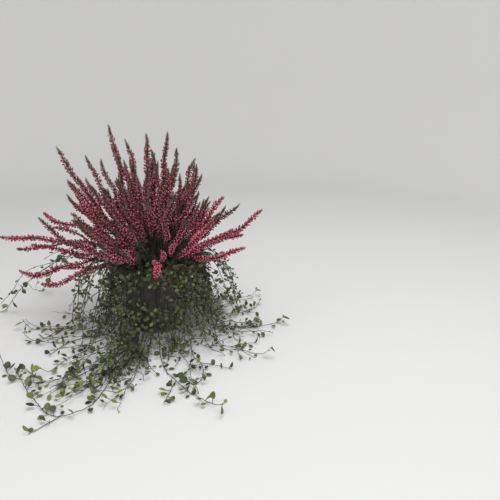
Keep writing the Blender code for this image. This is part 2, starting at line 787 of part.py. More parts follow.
def main():
    clear_scene()
    pot_grey = finish_of("pot_plastic", (0.045, 0.043, 0.045), 0.55)
    earth = finish_of("compost", (0.035, 0.024, 0.016), 0.95)
    bud_pink = finish_of("heather_buds", (0.36, 0.035, 0.10), 0.6)
    heath_green = finish_of("heather_leaves", (0.045, 0.085, 0.035), 0.6)
    vine_green = finish_of("vine_leaves", (0.060, 0.125, 0.030), 0.45)

    laid = []
    runners = [runner_path(row, laid) for row in RUNNERS]
    draw = random.Random(22)
    rows = SPRAYS + SHOOTS
    radii = [SPIKE_RADIUS] * len(SPRAYS) + [SHOOT_RADIUS] * len(SHOOTS)
    sprays = [spray_paths(row, root, draw) for row, root in zip(rows, stem_roots(rows))]
    spikes_of = bend_clear(sprays, radii, runners)

    crowd = Crowd()
    for number, ((trunk, _, forks_at), spikes, radius) in enumerate(zip(sprays, spikes_of, radii)):
        if number < len(SPRAYS):
            name, material = f"heather_spray_{number + 1:02d}", bud_pink
        else:
            name, material = f"leafy_shoot_{number + 1 - len(SPRAYS)}", heath_green
        grow_spray(name, trunk, spikes, forks_at, radius, material)
        crowd.add(trunk, [TRUNK_RADIUS] * len(trunk), name)
        for path in spikes:
            fine = even(path, 0.004)
            crowd.add(fine, [girth(s, radius) + 0.0005 for s in np.linspace(0, 1, len(fine))], name)

    names = [f"vine_runner_{number + 1:02d}" for number in range(len(RUNNERS))]
    for name, path in zip(names, runners):
        fine = even(path, STEM_BALLS)
        crowd.add(fine, [RUNNER_RADIUS + STEM_MARGIN] * len(fine), name)
    for name, path, row in zip(names, runners, RUNNERS):
        grow_runner(name, path, row[1], crowd, draw, vine_green)

    make_pot(pot_grey)
    roots = [(trunk[0][0], trunk[0][1], TRUNK_RADIUS) for trunk, _, _ in sprays]
    roots += [(path[0][0], path[0][1], RUNNER_RADIUS) for path in runners]
    make_compost(roots, earth)


main()
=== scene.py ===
"""The looks of a potted heather with trailing wire vine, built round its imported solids.

The file follows the plant as a nursery puts it together: the pot, the compost, the ways that the vine's stems
take, the heather sprays, the leafy shoots between them and the vine. The floor, light and camera come last.
Metres, +Z up, the origin at the middle of the pot's flat base.
"""

import math
import random

import bpy
import numpy as np
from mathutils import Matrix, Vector, noise


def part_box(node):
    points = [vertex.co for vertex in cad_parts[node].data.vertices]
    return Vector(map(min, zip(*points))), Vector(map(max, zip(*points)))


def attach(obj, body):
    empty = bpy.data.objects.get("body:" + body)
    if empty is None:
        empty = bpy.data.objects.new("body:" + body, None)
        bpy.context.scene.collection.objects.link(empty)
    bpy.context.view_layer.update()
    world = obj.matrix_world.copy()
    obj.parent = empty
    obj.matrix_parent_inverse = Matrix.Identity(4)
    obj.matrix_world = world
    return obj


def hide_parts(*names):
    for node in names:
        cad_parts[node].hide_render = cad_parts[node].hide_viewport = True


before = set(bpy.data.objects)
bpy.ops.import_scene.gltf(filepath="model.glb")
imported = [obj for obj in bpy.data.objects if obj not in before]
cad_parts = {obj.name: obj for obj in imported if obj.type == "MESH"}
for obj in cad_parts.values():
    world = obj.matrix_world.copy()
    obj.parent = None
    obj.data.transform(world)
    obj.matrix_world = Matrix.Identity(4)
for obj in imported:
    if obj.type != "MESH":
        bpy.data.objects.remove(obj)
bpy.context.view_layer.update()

# The pot
# A thin nursery pot, injection moulded in dark taupe polypropylene. The wall tapers to a foot with drain
# slots cut in its corner, and a wider band with a rolled lip stiffens the rim. It stands on its flat base.

pot_low, pot_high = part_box("pot")
POT_RADIUS = round((pot_high.x - pot_low.x) / 2, 6)
POT_HEIGHT = round(pot_high.z, 6)
BASE_RADIUS = 0.70 * POT_RADIUS
WALL = 0.0015
RIM_BAND = 0.013
RIM_STEP = 0.002
POT_SIDES = 120
BAND_FOOT = POT_HEIGHT - RIM_BAND
DRAIN_SLOTS = 8
DRAIN_WIDTH = 0.009
DRAIN_HEIGHT = 0.004
# A slot's cutter: how far inside the edge of the base it stands, half its length and the height of its middle
CUTTER_INSET = 0.0018
CUTTER_HALF_LENGTH = 0.0058
CUTTER_MIDDLE = 0.001


def wall_radius(height):
    """Outer radius of the pot's tapering wall below the rim band."""
    share = min(1.0, height / BAND_FOOT)
    return BASE_RADIUS + (POT_RADIUS - RIM_STEP - BASE_RADIUS) * share


def turned(profile, sides):
    """A closed body turned about Z from points of radius and height whose first and last lie on the axis."""
    angles = 2 * math.pi * np.arange(sides) / sides
    circle = np.stack([np.cos(angles), np.sin(angles)], axis=1)
    rings = [np.hstack([r * circle, np.full((sides, 1), z)]) for r, z in profile[1:-1]]
    points = np.vstack([[[0, 0, profile[0][1]]], *rings, [[0, 0, profile[-1][1]]]])
    i = np.arange(sides)
    j = (i + 1) % sides
    faces = [np.stack([0 * i, 1 + j, 1 + i], axis=1)]
    for k in range(len(rings) - 1):
        low, high = 1 + k * sides, 1 + (k + 1) * sides
        faces.append(np.stack([low + i, low + j, high + j], axis=1))
        faces.append(np.stack([low + i, high + j, high + i], axis=1))
    last = 1 + (len(rings) - 1) * sides
    faces.append(np.stack([last + i, last + j, 0 * i + len(points) - 1], axis=1))
    return points, np.vstack(faces)


def piece(name, parts, smooth_below=180):
    """One mesh piece that rides on the part. Each of its parts has points, triangles, a material and the
    growth values that the material reads at each point: its place on its bud or leaf, how that one varies
    from the rest, together with painted light on the buds, and how young it is."""
    materials = []
    points, faces, growths, indices = [], [], [], []
    first = 0
    for part_points, part_faces, material, growth in parts:
        if material not in materials:
            materials.append(material)
        points.append(part_points)
        faces.append(part_faces + first)
        growths.append(np.broadcast_to(growth, (len(part_points), 3)))
        indices.append(np.full(len(part_faces), materials.index(material)))
        first += len(part_points)
    points, faces, growths = np.vstack(points), np.vstack(faces), np.vstack(growths)
    mesh = bpy.data.meshes.new(name)
    mesh.vertices.add(len(points))
    mesh.vertices.foreach_set("co", points.astype(np.float32).ravel())
    mesh.loops.add(3 * len(faces))
    mesh.loops.foreach_set("vertex_index", faces.astype(np.int32).ravel())
    mesh.polygons.add(len(faces))
    mesh.polygons.foreach_set("loop_start", 3 * np.arange(len(faces), dtype=np.int32))
    mesh.polygons.foreach_set("material_index", np.concatenate(indices).astype(np.int32))
    mesh.update(calc_edges=True)
    values = mesh.attributes.new("growth", "FLOAT_COLOR", "POINT")
    colours = np.hstack([growths, np.ones((len(points), 1))])
    values.data.foreach_set("color", colours.astype(np.float32).ravel())
    for material in materials:
        mesh.materials.append(material)
    mesh.shade_smooth()
    if smooth_below < 180:
        mesh.set_sharp_from_angle(angle=math.radians(smooth_below))
    made = bpy.data.objects.new(name, mesh)
    bpy.context.scene.collection.objects.link(made)
    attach(made, "root")
    return made


class Finish:
    """A procedural material: a Principled BSDF with the nodes that feed it."""

    def __init__(self, name, roughness, specular=0.5):
        self.material = bpy.data.materials.new(name)
        self.material.use_nodes = True
        self.tree = self.material.node_tree
        self.shader = self.tree.nodes["Principled BSDF"]
        self.shader.inputs["Roughness"].default_value = roughness
        self.shader.inputs["Specular IOR Level"].default_value = specular

    def node(self, kind, **settings):
        made = self.tree.nodes.new(kind)
        for key, value in settings.items():
            setattr(made, key, value)
        return made

    def link(self, source, target):
        self.tree.links.new(source, target)

    def noise(self, scale, detail=3.0, roughness=0.55):
        place = self.node("ShaderNodeTexCoord")
        made = self.node("ShaderNodeTexNoise")
        made.inputs["Scale"].default_value = scale
        made.inputs["Detail"].default_value = detail
        made.inputs["Roughness"].default_value = roughness
        self.link(place.outputs["Object"], made.inputs["Vector"])
        return made.outputs["Fac"]

    def ramp(self, factor, stops):
        """A colour ramp with (place, colour) stops."""
        made = self.node("ShaderNodeValToRGB")
        elements = made.color_ramp.elements
        while len(elements) < len(stops):
            elements.new(0.5)
        for element, (place, colour) in zip(elements, stops):
            element.position = place
            element.color = (*colour, 1.0)
        self.link(factor, made.inputs["Fac"])
        return made.outputs["Color"]

    def fade(self, factor, low, high):
        """A factor stretched so that low becomes 0 and high becomes 1."""
        made = self.node("ShaderNodeMapRange")
        made.inputs["From Min"].default_value = low
        made.inputs["From Max"].default_value = high
        self.link(factor, made.inputs["Value"])
        return made.outputs["Result"]

    def mix(self, factor, one, other, blend="MIX"):
        """Two colours mixed by a factor. A colour is a socket or plain, the factor a socket or a number."""
        made = self.node("ShaderNodeMix", data_type="RGBA", blend_type=blend)
        for socket, value in ((made.inputs[0], factor), (made.inputs[6], one), (made.inputs[7], other)):
            if isinstance(value, bpy.types.NodeSocket):
                self.link(value, socket)
            elif isinstance(value, float):
                socket.default_value = value
            else:
                socket.default_value = (*value, 1.0)
        return made.outputs[2]

    def growth(self):
        """The three growth values that the mesh carries."""
        made = self.node("ShaderNodeAttribute", attribute_name="growth")
        split = self.node("ShaderNodeSeparateColor")
        self.link(made.outputs["Color"], split.inputs["Color"])
        return split.outputs["Red"], split.outputs["Green"], split.outputs["Blue"]

    def bump(self, height, distance, strength=0.6):
        made = self.node("ShaderNodeBump")
        made.inputs["Distance"].default_value = distance
        made.inputs["Strength"].default_value = strength
        self.link(height, made.inputs["Height"])
        self.link(made.outputs["Normal"], self.shader.inputs["Normal"])

    def colour(self, socket):
        self.link(socket, self.shader.inputs["Base Color"])


def pot_plastic():
    """Dark taupe plastic, faintly clouded, with dried splashes of compost water and a fine moulded grain."""
    finish = Finish("pot_plastic", 0.46, 0.4)
    clouds = [(0.35, (0.092, 0.084, 0.085)), (0.70, (0.128, 0.118, 0.115))]
    splashes = [(0.56, (0, 0, 0)), (0.74, (0.55, 0.55, 0.55))]
    dried = (0.170, 0.150, 0.130)
    clouded = finish.ramp(finish.noise(28, 4), clouds)
    dusty = finish.ramp(finish.noise(95, 6, 0.7), splashes)
    finish.colour(finish.mix(dusty, clouded, dried))
    finish.bump(finish.noise(1400, 2), 0.00012)
    return finish.material


# Radius and height of the wall's points: the base, up the outside, over the rolled lip and down the inside
outside = [0.0010, 0.003, 0.35 * BAND_FOOT, 0.7 * BAND_FOOT, BAND_FOOT - 0.0008]
inside = [BAND_FOOT, 0.5 * BAND_FOOT, WALL]
pot_profile = [
    (0, 0), (0.010, 0), (BASE_RADIUS - 0.0022, 0), (BASE_RADIUS - 0.0010, 0.0003),
    *[(wall_radius(z), z) for z in outside], (wall_radius(BAND_FOOT) + 0.0005, BAND_FOOT - 0.0001),
    (POT_RADIUS - 0.0006, BAND_FOOT + 0.0002), (POT_RADIUS - 0.0001, BAND_FOOT + 0.0008),
    (POT_RADIUS, BAND_FOOT + 0.002), (POT_RADIUS - 0.0001, POT_HEIGHT - 0.0026),
    (POT_RADIUS, POT_HEIGHT - 0.0018), (POT_RADIUS, POT_HEIGHT - 0.0007),
    (POT_RADIUS - 0.0003, POT_HEIGHT - 0.0001), (POT_RADIUS - 0.0008, POT_HEIGHT),
    (POT_RADIUS - WALL + 0.0002, POT_HEIGHT - 0.0003), (POT_RADIUS - WALL, POT_HEIGHT - 0.0010),
    *[(wall_radius(z) - WALL, z) for z in inside], (0.010, WALL), (0, WALL),
]
pot = piece("nursery_pot", [(*turned(pot_profile, POT_SIDES), pot_plastic(), (0, 0, 0))], 40)
for k in range(DRAIN_SLOTS):
    angle = 2 * math.pi * (k + 0.5) / DRAIN_SLOTS
    middle = BASE_RADIUS - CUTTER_INSET
    place = (middle * math.cos(angle), middle * math.sin(angle), CUTTER_MIDDLE)
    bpy.ops.mesh.primitive_cube_add(location=place)
    cutter = bpy.context.object
    cutter.scale = (CUTTER_HALF_LENGTH, DRAIN_WIDTH / 2, DRAIN_HEIGHT - CUTTER_MIDDLE)
    cutter.rotation_euler.z = angle
    slot_cut = pot.modifiers.new("drain", "BOOLEAN")
    slot_cut.operation = "DIFFERENCE"
    slot_cut.object = cutter
    bpy.context.view_layer.update()
    seen = pot.evaluated_get(bpy.context.evaluated_depsgraph_get())
    pot.data = bpy.data.meshes.new_from_object(seen)
    pot.modifiers.clear()
    bpy.data.objects.remove(cutter)
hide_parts("pot")

# The compost
# Damp dark peat that fills the pot to a finger's width below its rim. It is filled loose and settles into
# crumbs, with a few wood fibres and pale grains, slightly higher in the middle.

SOIL_TOP = 0.092
SOIL_CROWN = 0.0015
SOIL_SIDES = 96
SOIL_RINGS = 26
EDGE_DROP = 0.0012
GAP = 0.00035
CRUMBS = 900
CRUMB_SIZES = (0.0005, 0.0024)
FIBRES = 60
FIBRE_LENGTHS = (0.0025, 0.006)
FIBRE_GIRTH = 0.0004


def copies(shape, places, axes):
    """Copies of a small shape, one at each place, each with its own three axes that also carry its size."""
    points, faces = shape
    all_points = np.einsum("nij,vi->nvj", axes, points) + places[:, None, :]
    all_faces = faces[None] + len(points) * np.arange(len(places))[:, None, None]
    return all_points.reshape(-1, 3), all_faces.reshape(-1, 3)


def unit_rows(vectors):
    return vectors / np.linalg.norm(vectors, axis=1)[:, None]


def any_way(dice, count):
    """Frames of three square axes that look every way."""
    first = unit_rows(dice.normal(size=(count, 3)))
    second = unit_rows(np.cross(first, dice.normal(size=(count, 3))))
    return np.stack([first, second, np.cross(first, second)], axis=1)


def compost_finish():
    """Nearly black brown, with paler dry crumbs and a coarse rough surface."""
    finish = Finish("compost", 0.95, 0.2)
    crumbs = [(0.30, (0.010, 0.007, 0.005)), (0.55, (0.030, 0.020, 0.013)), (0.80, (0.075, 0.050, 0.032))]
    crumbly = finish.ramp(finish.noise(330, 6, 0.7), crumbs)
    _, varies, _ = finish.growth()
    finish.colour(finish.mix(finish.fade(varies, 0.90, 1.0), crumbly, (0.22, 0.16, 0.10)))
    finish.bump(finish.noise(900, 5, 0.7), 0.0006)
    return finish.material


def crumb_height(x, y):
    """How far the settled surface stands above or below a smooth crown at a place."""
    coarse = 0.0016 * noise.noise(Vector((x, y, 0.0)) * 95)
    fine = 0.0009 * noise.noise(Vector((x, y, 3.0)) * 260)
    return coarse + fine


soil_edge = wall_radius(SOIL_TOP) - WALL - GAP
shares = np.linspace(0.03, 1.0, SOIL_RINGS)
bottom = [(0, WALL + GAP), (wall_radius(WALL) - WALL - GAP, WALL + GAP), (soil_edge, SOIL_TOP - 0.002)]
top = [(soil_edge * share, SOIL_TOP + SOIL_CROWN * (1 - share * share)) for share in shares[::-1]]
soil_points, soil_faces = turned([*bottom, *top, (0, SOIL_TOP + SOIL_CROWN)], SOIL_SIDES)
for point in soil_points:
    if point[2] > SOIL_TOP - 0.001:
        share = math.hypot(point[0], point[1]) / soil_edge
        point[2] += crumb_height(point[0], point[1]) - EDGE_DROP * share**6

dice = np.random.default_rng(5)
# A lump with six corners: a crumb or, drawn out long and thin, a wood fibre
lump_points = np.array([(1, 0, 0), (-0.9, 0.1, 0), (0, 1, 0.1), (0.1, -1, 0), (0, 0.1, 0.8), (0, 0, -0.8)])
upper = [(0, 2, 4), (2, 1, 4), (1, 3, 4), (3, 0, 4)]
lower = [(2, 0, 5), (1, 2, 5), (3, 1, 5), (0, 3, 5)]
lump = (lump_points, np.array(upper + lower))
reach = (soil_edge - 0.003) * np.sqrt(dice.random(CRUMBS))
turn = dice.uniform(0, 2 * math.pi, CRUMBS)
x, y = reach * np.cos(turn), reach * np.sin(turn)
size = dice.gamma(3.0, 0.00032, CRUMBS).clip(*CRUMB_SIZES)
z = SOIL_TOP + SOIL_CROWN * (1 - (reach / soil_edge) ** 2) + [crumb_height(a, b) for a, b in zip(x, y)]
crumbs = copies(lump, np.stack([x, y, z + 0.2 * size], axis=1), any_way(dice, CRUMBS) * size[:, None, None])
crumb_growth = np.stack([0 * size, dice.random(CRUMBS), 0 * size], axis=1)
crumb_growth = np.repeat(crumb_growth, len(lump_points), axis=0)
reach = (soil_edge - 0.006) * np.sqrt(dice.random(FIBRES))
turn = dice.uniform(0, 2 * math.pi, FIBRES)
lying = dice.uniform(0, 2 * math.pi, FIBRES)
lengthwise = np.stack([np.cos(lying), np.sin(lying), 0.15 * np.sin(3 * lying)], axis=1)
long = dice.uniform(*FIBRE_LENGTHS, FIBRES)[:, None] * lengthwise
wide = FIBRE_GIRTH * np.stack([-np.sin(lying), np.cos(lying), 0 * lying], axis=1)
deep = np.tile([0, 0, FIBRE_GIRTH], (FIBRES, 1))
height = np.full(FIBRES, SOIL_TOP + 0.0022)
fibre_places = np.stack([reach * np.cos(turn), reach * np.sin(turn), height], axis=1)
fibres = copies(lump, fibre_places, np.stack([long, wide, deep], axis=1))
earth = compost_finish()
compost = piece("peat_compost", [
    (soil_points, soil_faces, earth, (0, 0.4, 0)),
    (*crumbs, earth, crumb_growth),
    (*fibres, earth, (0, 0.97, 0)),
], 50)
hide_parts("compost")

# The ways that the vine's stems take
# Wiry runners planted in a ring just inside the rim. Each climbs over the rim, hangs down or arches out,
# and runs on over the floor and the runners that already lie there. The heather grows up between them, so
# they are laid first.

RUNNER_RADIUS = 0.0009
RUNNER_ROOT = 0.0475
ROOT_DEPTH = 0.012
# A runner lies on the surface below this height
LYING = 0.012
# A lying runner: the distance between its knots, the height and length of its waves, how high its end lifts,
# and from which share of its run
RUN_STEP = 0.014
WAVE_HEIGHT = 0.0011
WAVE_LENGTH = 0.065
END_LIFT = 0.014
LIFTS_FROM = 0.84
# Where it crosses another runner: how far off it begins to climb, and the room that it leaves above that one
CLIMBS_WITHIN = 0.016
ROOM_ABOVE = 0.0012
# Each runner: azimuth in degrees, the way it hangs, its run over the surface in mm, how far that run turns in
# degrees (negative is clockwise seen from above), and the shares of the run between which it turns
RUNNERS = [
    (12, "arching", 60, 40, 0.0, 1.0),
    (40, "close", 110, -30, 0.0, 1.0),
    (70, "arching", 60, 40, 0.0, 1.0),
    (98, "close", 95, 35, 0.0, 1.0),
    (126, "arching", 65, -30, 0.0, 1.0),
    (153, "reaching", 34, 20, 0.0, 1.0),
    (173, "reaching", 40, 25, 0.0, 1.0),
    (192, "arching", 90, -20, 0.0, 1.0),
    (211, "close", 130, -50, 0.2, 1.0),
    (228, "arching", 84, 20, 0.0, 1.0),
    (243, "close", 240, -115, 0.25, 0.95),
    (260, "close", 308, -128, 0.42, 0.75),
    (281, "close", 195, 36, 0.0, 0.8),
    (302, "arching", 100, -60, 0.2, 1.0),
    (324, "arching", 90, 20, 0.0, 1.0),
    (348, "close", 125, 30, 0.0, 1.0),
]
# Radius and height in mm of the knots that a runner passes through from its root to where it lands
HANGS = {
    "close": [(51, 105), (60, 111), (68.5, 103), (73, 72), (80, 30), (91, 5)],
    "arching": [(52, 110), (61, 118), (79, 117), (100, 94), (116, 50), (130, 6)],
    "reaching": [(52, 113), (63, 122), (100, 126), (165, 103), (232, 56), (276, 6)],
}


def lengths_along(points):
    return np.concatenate([[0], np.cumsum(np.linalg.norm(np.diff(points, axis=0), axis=1))])


def read_at(rows, along, places):
    """Rows that belong to the points of a path, read at the given distances along it."""
    return np.stack([np.interp(places, along, rows[:, k]) for k in range(3)], axis=1)


def spaced(points, places):
    """Points at the given distances along a path."""
    return read_at(points, lengths_along(points), places)


def even(points, spacing):
    """A path with points at about the given spacing."""
    total = lengths_along(points)[-1]
    return spaced(points, np.linspace(0, total, max(3, round(total / spacing) + 1)))


def through(knots):
    """Close points on a Catmull-Rom curve through the knots."""
    knots = np.array(knots, float)
    ends = np.vstack([2 * knots[0] - knots[1], knots, 2 * knots[-1] - knots[-2]])
    t = np.linspace(0, 1, 16, endpoint=False)[:, None]
    parts = []
    for a, b, c, d in zip(ends, ends[1:], ends[2:], ends[3:]):
        parts.append(
            0.5 * (2 * b + (c - a) * t + (2 * a - 5 * b + 4 * c - d) * t**2 + (3 * b - a - 3 * c + d) * t**3)
        )
    return np.vstack(parts + [knots[-1:]])


def runner_path(row, laid):
    """A runner from its root, over the rim, down, and out over the surface and the runners laid before it."""
    azimuth, hang, run, turn, turns_from, turns_to = row
    azimuth, run, turn = math.radians(azimuth), run / 1000, math.radians(turn)
    knots = [(RUNNER_ROOT, SOIL_TOP - ROOT_DEPTH), (RUNNER_ROOT, SOIL_TOP), (RUNNER_ROOT, SOIL_TOP + 0.006)]
    knots += [(r / 1000, z / 1000) for r, z in HANGS[hang]]
    hanging = [(r * math.cos(azimuth), r * math.sin(azimuth), z) for r, z in knots]
    low = RUNNER_RADIUS + 0.0003
    place, lying, steps = np.array(hanging[-1][:2]), [], max(4, round(run / RUN_STEP))
    for k in range(1, steps + 1):
        share = k / steps
        so_far = min(1.0, max(0.0, (share - turns_from) / (turns_to - turns_from)))
        way = azimuth + turn * so_far * so_far * (3 - 2 * so_far)
        place = place + run / steps * np.array([math.cos(way), math.sin(way)])
        wave = WAVE_HEIGHT * (1 - math.cos(2 * math.pi * share * run / WAVE_LENGTH))
        lift = END_LIFT * max(0.0, (share - LIFTS_FROM) / (1 - LIFTS_FROM)) ** 1.5
        lying.append((place[0], place[1], low + wave + lift))
    path = through(hanging + lying)
    path[:, 2] = np.maximum(path[:, 2], low)
    if laid:
        others = np.vstack(laid)
        flat = np.linalg.norm(path[:, None, :2] - others[None, :, :2], axis=2)
        nearest = flat.argmin(axis=1)
        near = flat.min(axis=1)
        over = others[nearest, 2] + 2 * RUNNER_RADIUS + ROOM_ABOVE
        bump = np.clip(1 - (near / CLIMBS_WITHIN) ** 2, 0, 1)
        lying_part = path[:, 2] < LYING
        raised = path[:, 2] + bump * np.maximum(0, over - path[:, 2])
        path[:, 2] = np.where(lying_part & (others[nearest, 2] < LYING), raised, path[:, 2])
    laid.append(path)
    return even(path, 0.004)


laid = []
runners = [runner_path(row, laid) for row in RUNNERS]

# The heather sprays
# Woody stems rise from the middle of the pot and fork into slim spikes. Each spike has scale leaves at its
# foot, then small closed buds all the way up, and a thin grey-green tip. Each spray grew as one piece.

UP = np.array([0.0, 0.0, 1.0])
TRUNK_RADIUS = 0.0018
TRUNK_RISE = 0.018
TRUNK_REACH = 0.12
TRUNK_STEP = 0.010
ROOTS_WITHIN = 0.034
ROOTS_APART = 0.0082
SPIKE_RADIUS = 0.0047
SHOOT_RADIUS = 0.0030
LEAFY_GIRTH = 0.45
TIP_GIRTH = 0.30
TIP_SHARE = 0.30
FLOWERS_FROM = 0.22
SPIKE_STEP = 0.0065
SPIKE_CLEARANCE = 0.0022
FORK_TURN = 2.4
FORK_TURN_VARIES = 0.4
FORK_SET_OFF = 0.80
FORK_SPREAD = 0.40
FORK_ENDS_ASIDE = 0.12
FORK_ENDS_UP = 0.15
FORK_SHORTER = (0.66, 0.86)
FORK_CLOSE = 0.021
# Each spray: the tip of its longest spike in mm, how far the spike sets off above the straight way to its tip
# (negative sets off lower), how far its tip turns up, and how many shorter spikes fork from it
SPRAYS = [
    (-36, 20, 300, -0.10, 0.05, 3),
    (-4, 14, 309, -0.05, 0.05, 3),
    (27, 20, 311, -0.05, 0.05, 3),
    (47, -14, 290, -0.12, 0.10, 3),
    (4, -42, 258, -0.10, 0.05, 2),
    (-68, 42, 320, -0.20, 0.15, 3),
    (-141, 10, 289, -0.25, 0.20, 2),
    (-112, 54, 272, -0.25, 0.20, 2),
    (-120, -14, 240, -0.30, 0.30, 2),
    (-56, -56, 232, -0.20, 0.20, 2),
    (72, 26, 260, -0.20, 0.15, 2),
    (46, -62, 234, -0.20, 0.10, 1),
    (62, 86, 262, -0.20, 0.15, 2),
    (-24, 104, 280, -0.20, 0.15, 2),
    (114, -24, 220, -0.25, 0.20, 2),
    (-164, -34, 190, -0.30, 0.90, 1),
    (-240, -10, 152, 0.32, -0.10, 2),
    (-163, -52, 92, 0.50, 0.80, 0),
    (-92, -98, 172, 0.00, 0.30, 2),
    (-36, -98, 142, 0.35, -0.25, 1),
    (26, -112, 122, 0.50, -0.30, 0),
    (90, -84, 182, -0.05, 0.25, 1),
    (173, -40, 200, -0.02, 0.15, 1),
    (134, 66, 190, -0.05, 0.30, 2),
    (40, 146, 204, -0.10, 0.30, 2),
    (-84, 138, 198, -0.10, 0.30, 2),
    (-152, 66, 200, -0.10, 0.30, 1),
]
# Leafy shoots without flowers, by the same six values
SHOOTS = [
    (38, 56, 162, 0.05, 0.30, 2),
    (-58, 46, 160, 0.05, 0.30, 2),
    (64, -42, 162, 0.05, 0.30, 2),
    (-8, -64, 160, 0.15, 0.20, 2),
]


def unit(vector):
    return vector / np.linalg.norm(vector)


def smooth(knots, spacing):
    """A smooth path through knots, with points at about the given spacing."""
    return even(through(knots), spacing)


def bowed(start, setting_off, tip, arriving):
    """Close points on a Bezier curve that leaves start one way and arrives at the tip another way."""
    third = np.linalg.norm(tip - start) / 3
    a, b, c, d = start, start + third * unit(setting_off), tip - third * unit(arriving), tip
    t = np.linspace(0, 1, 40)[:, None]
    return a * (1 - t) ** 3 + 3 * b * t * (1 - t) ** 2 + 3 * c * t**2 * (1 - t) + d * t**3


def stem_roots(rows):
    """Where the woody stems stand: towards their tips, further out for low sprays, and evenly apart."""
    innermost, outermost, low_slope = 0.004, ROOTS_WITHIN - 0.002, 1.6
    roots = []
    for x, y, z, *_ in rows:
        reach = math.hypot(x, y)
        slope = reach / max(20, z - 100)
        out = innermost + (outermost - innermost) * min(1.0, slope / low_slope)
        roots.append((out * x / reach, out * y / reach))
    roots = np.array(roots)
    rounds, eased = 200, 0.4
    for _ in range(rounds):
        between = roots[:, None] - roots[None, :]
        distance = np.linalg.norm(between, axis=2) + 1e-9
        short = np.maximum(0, ROOTS_APART - distance)
        np.fill_diagonal(short, 0)
        roots = roots + eased * (between / distance[..., None] * short[..., None]).sum(axis=1)
        radius = np.linalg.norm(roots, axis=1)
        roots = roots * np.minimum(1, ROOTS_WITHIN / radius)[:, None]
    return roots


def spray_paths(row, root, draw):
    """One spray: its woody stem, then its spikes. The first is the longest, and the others fork from it."""
    x, y, z, lift, hook, forks = row
    tip = np.array([x, y, z]) / 1000
    foot = np.array([root[0], root[1], SOIL_TOP])
    chord = unit(tip - foot - TRUNK_RISE * UP)
    setting_off = unit(chord + lift * UP)
    knee = foot + TRUNK_RISE * UP
    reach = TRUNK_REACH * np.linalg.norm(tip - knee) * setting_off
    below, rising = foot - ROOT_DEPTH * UP, foot + 0.6 * TRUNK_RISE * UP
    trunk = smooth([below, foot, rising, knee + 0.35 * reach, knee + reach], TRUNK_STEP)
    longest = even(bowed(trunk[-1], trunk[-1] - trunk[-2], tip, chord + hook * UP), SPIKE_STEP)
    spikes, forks_at = [longest], [0]
    turn = draw.uniform(0, 2 * math.pi)
    for k in range(forks):
        at = 1 + k
        ahead = unit(longest[at + 1] - longest[at - 1])
        first = unit(np.cross(ahead, [0.3, 0.2, 1.0]))
        second = np.cross(ahead, first)
        angle = turn + FORK_TURN * k + draw.uniform(-FORK_TURN_VARIES, FORK_TURN_VARIES)
        aside = math.cos(angle) * first + math.sin(angle) * second
        left = tip - longest[at]
        length = np.linalg.norm(left) * draw.uniform(*FORK_SHORTER)
        end = longest[at] + length * unit(unit(left) + FORK_SPREAD * aside)
        arriving = ahead + FORK_ENDS_ASIDE * aside + FORK_ENDS_UP * UP
        spikes.append(even(bowed(longest[at], ahead + FORK_SET_OFF * aside, end, arriving), SPIKE_STEP))
        forks_at.append(at)
    return trunk, spikes, forks_at


def girth(share, radius):
    """Radius of a spike at a share of its length: slim and leafy below, budded, then a fine green tip."""
    body = min(1.0, max(0.0, (share - FLOWERS_FROM) / 0.10))
    tip = min(1.0, (1.0 - share) / TIP_SHARE)
    return radius * (LEAFY_GIRTH + (1 - LEAFY_GIRTH) * body) * (TIP_GIRTH + (1 - TIP_GIRTH) * tip)


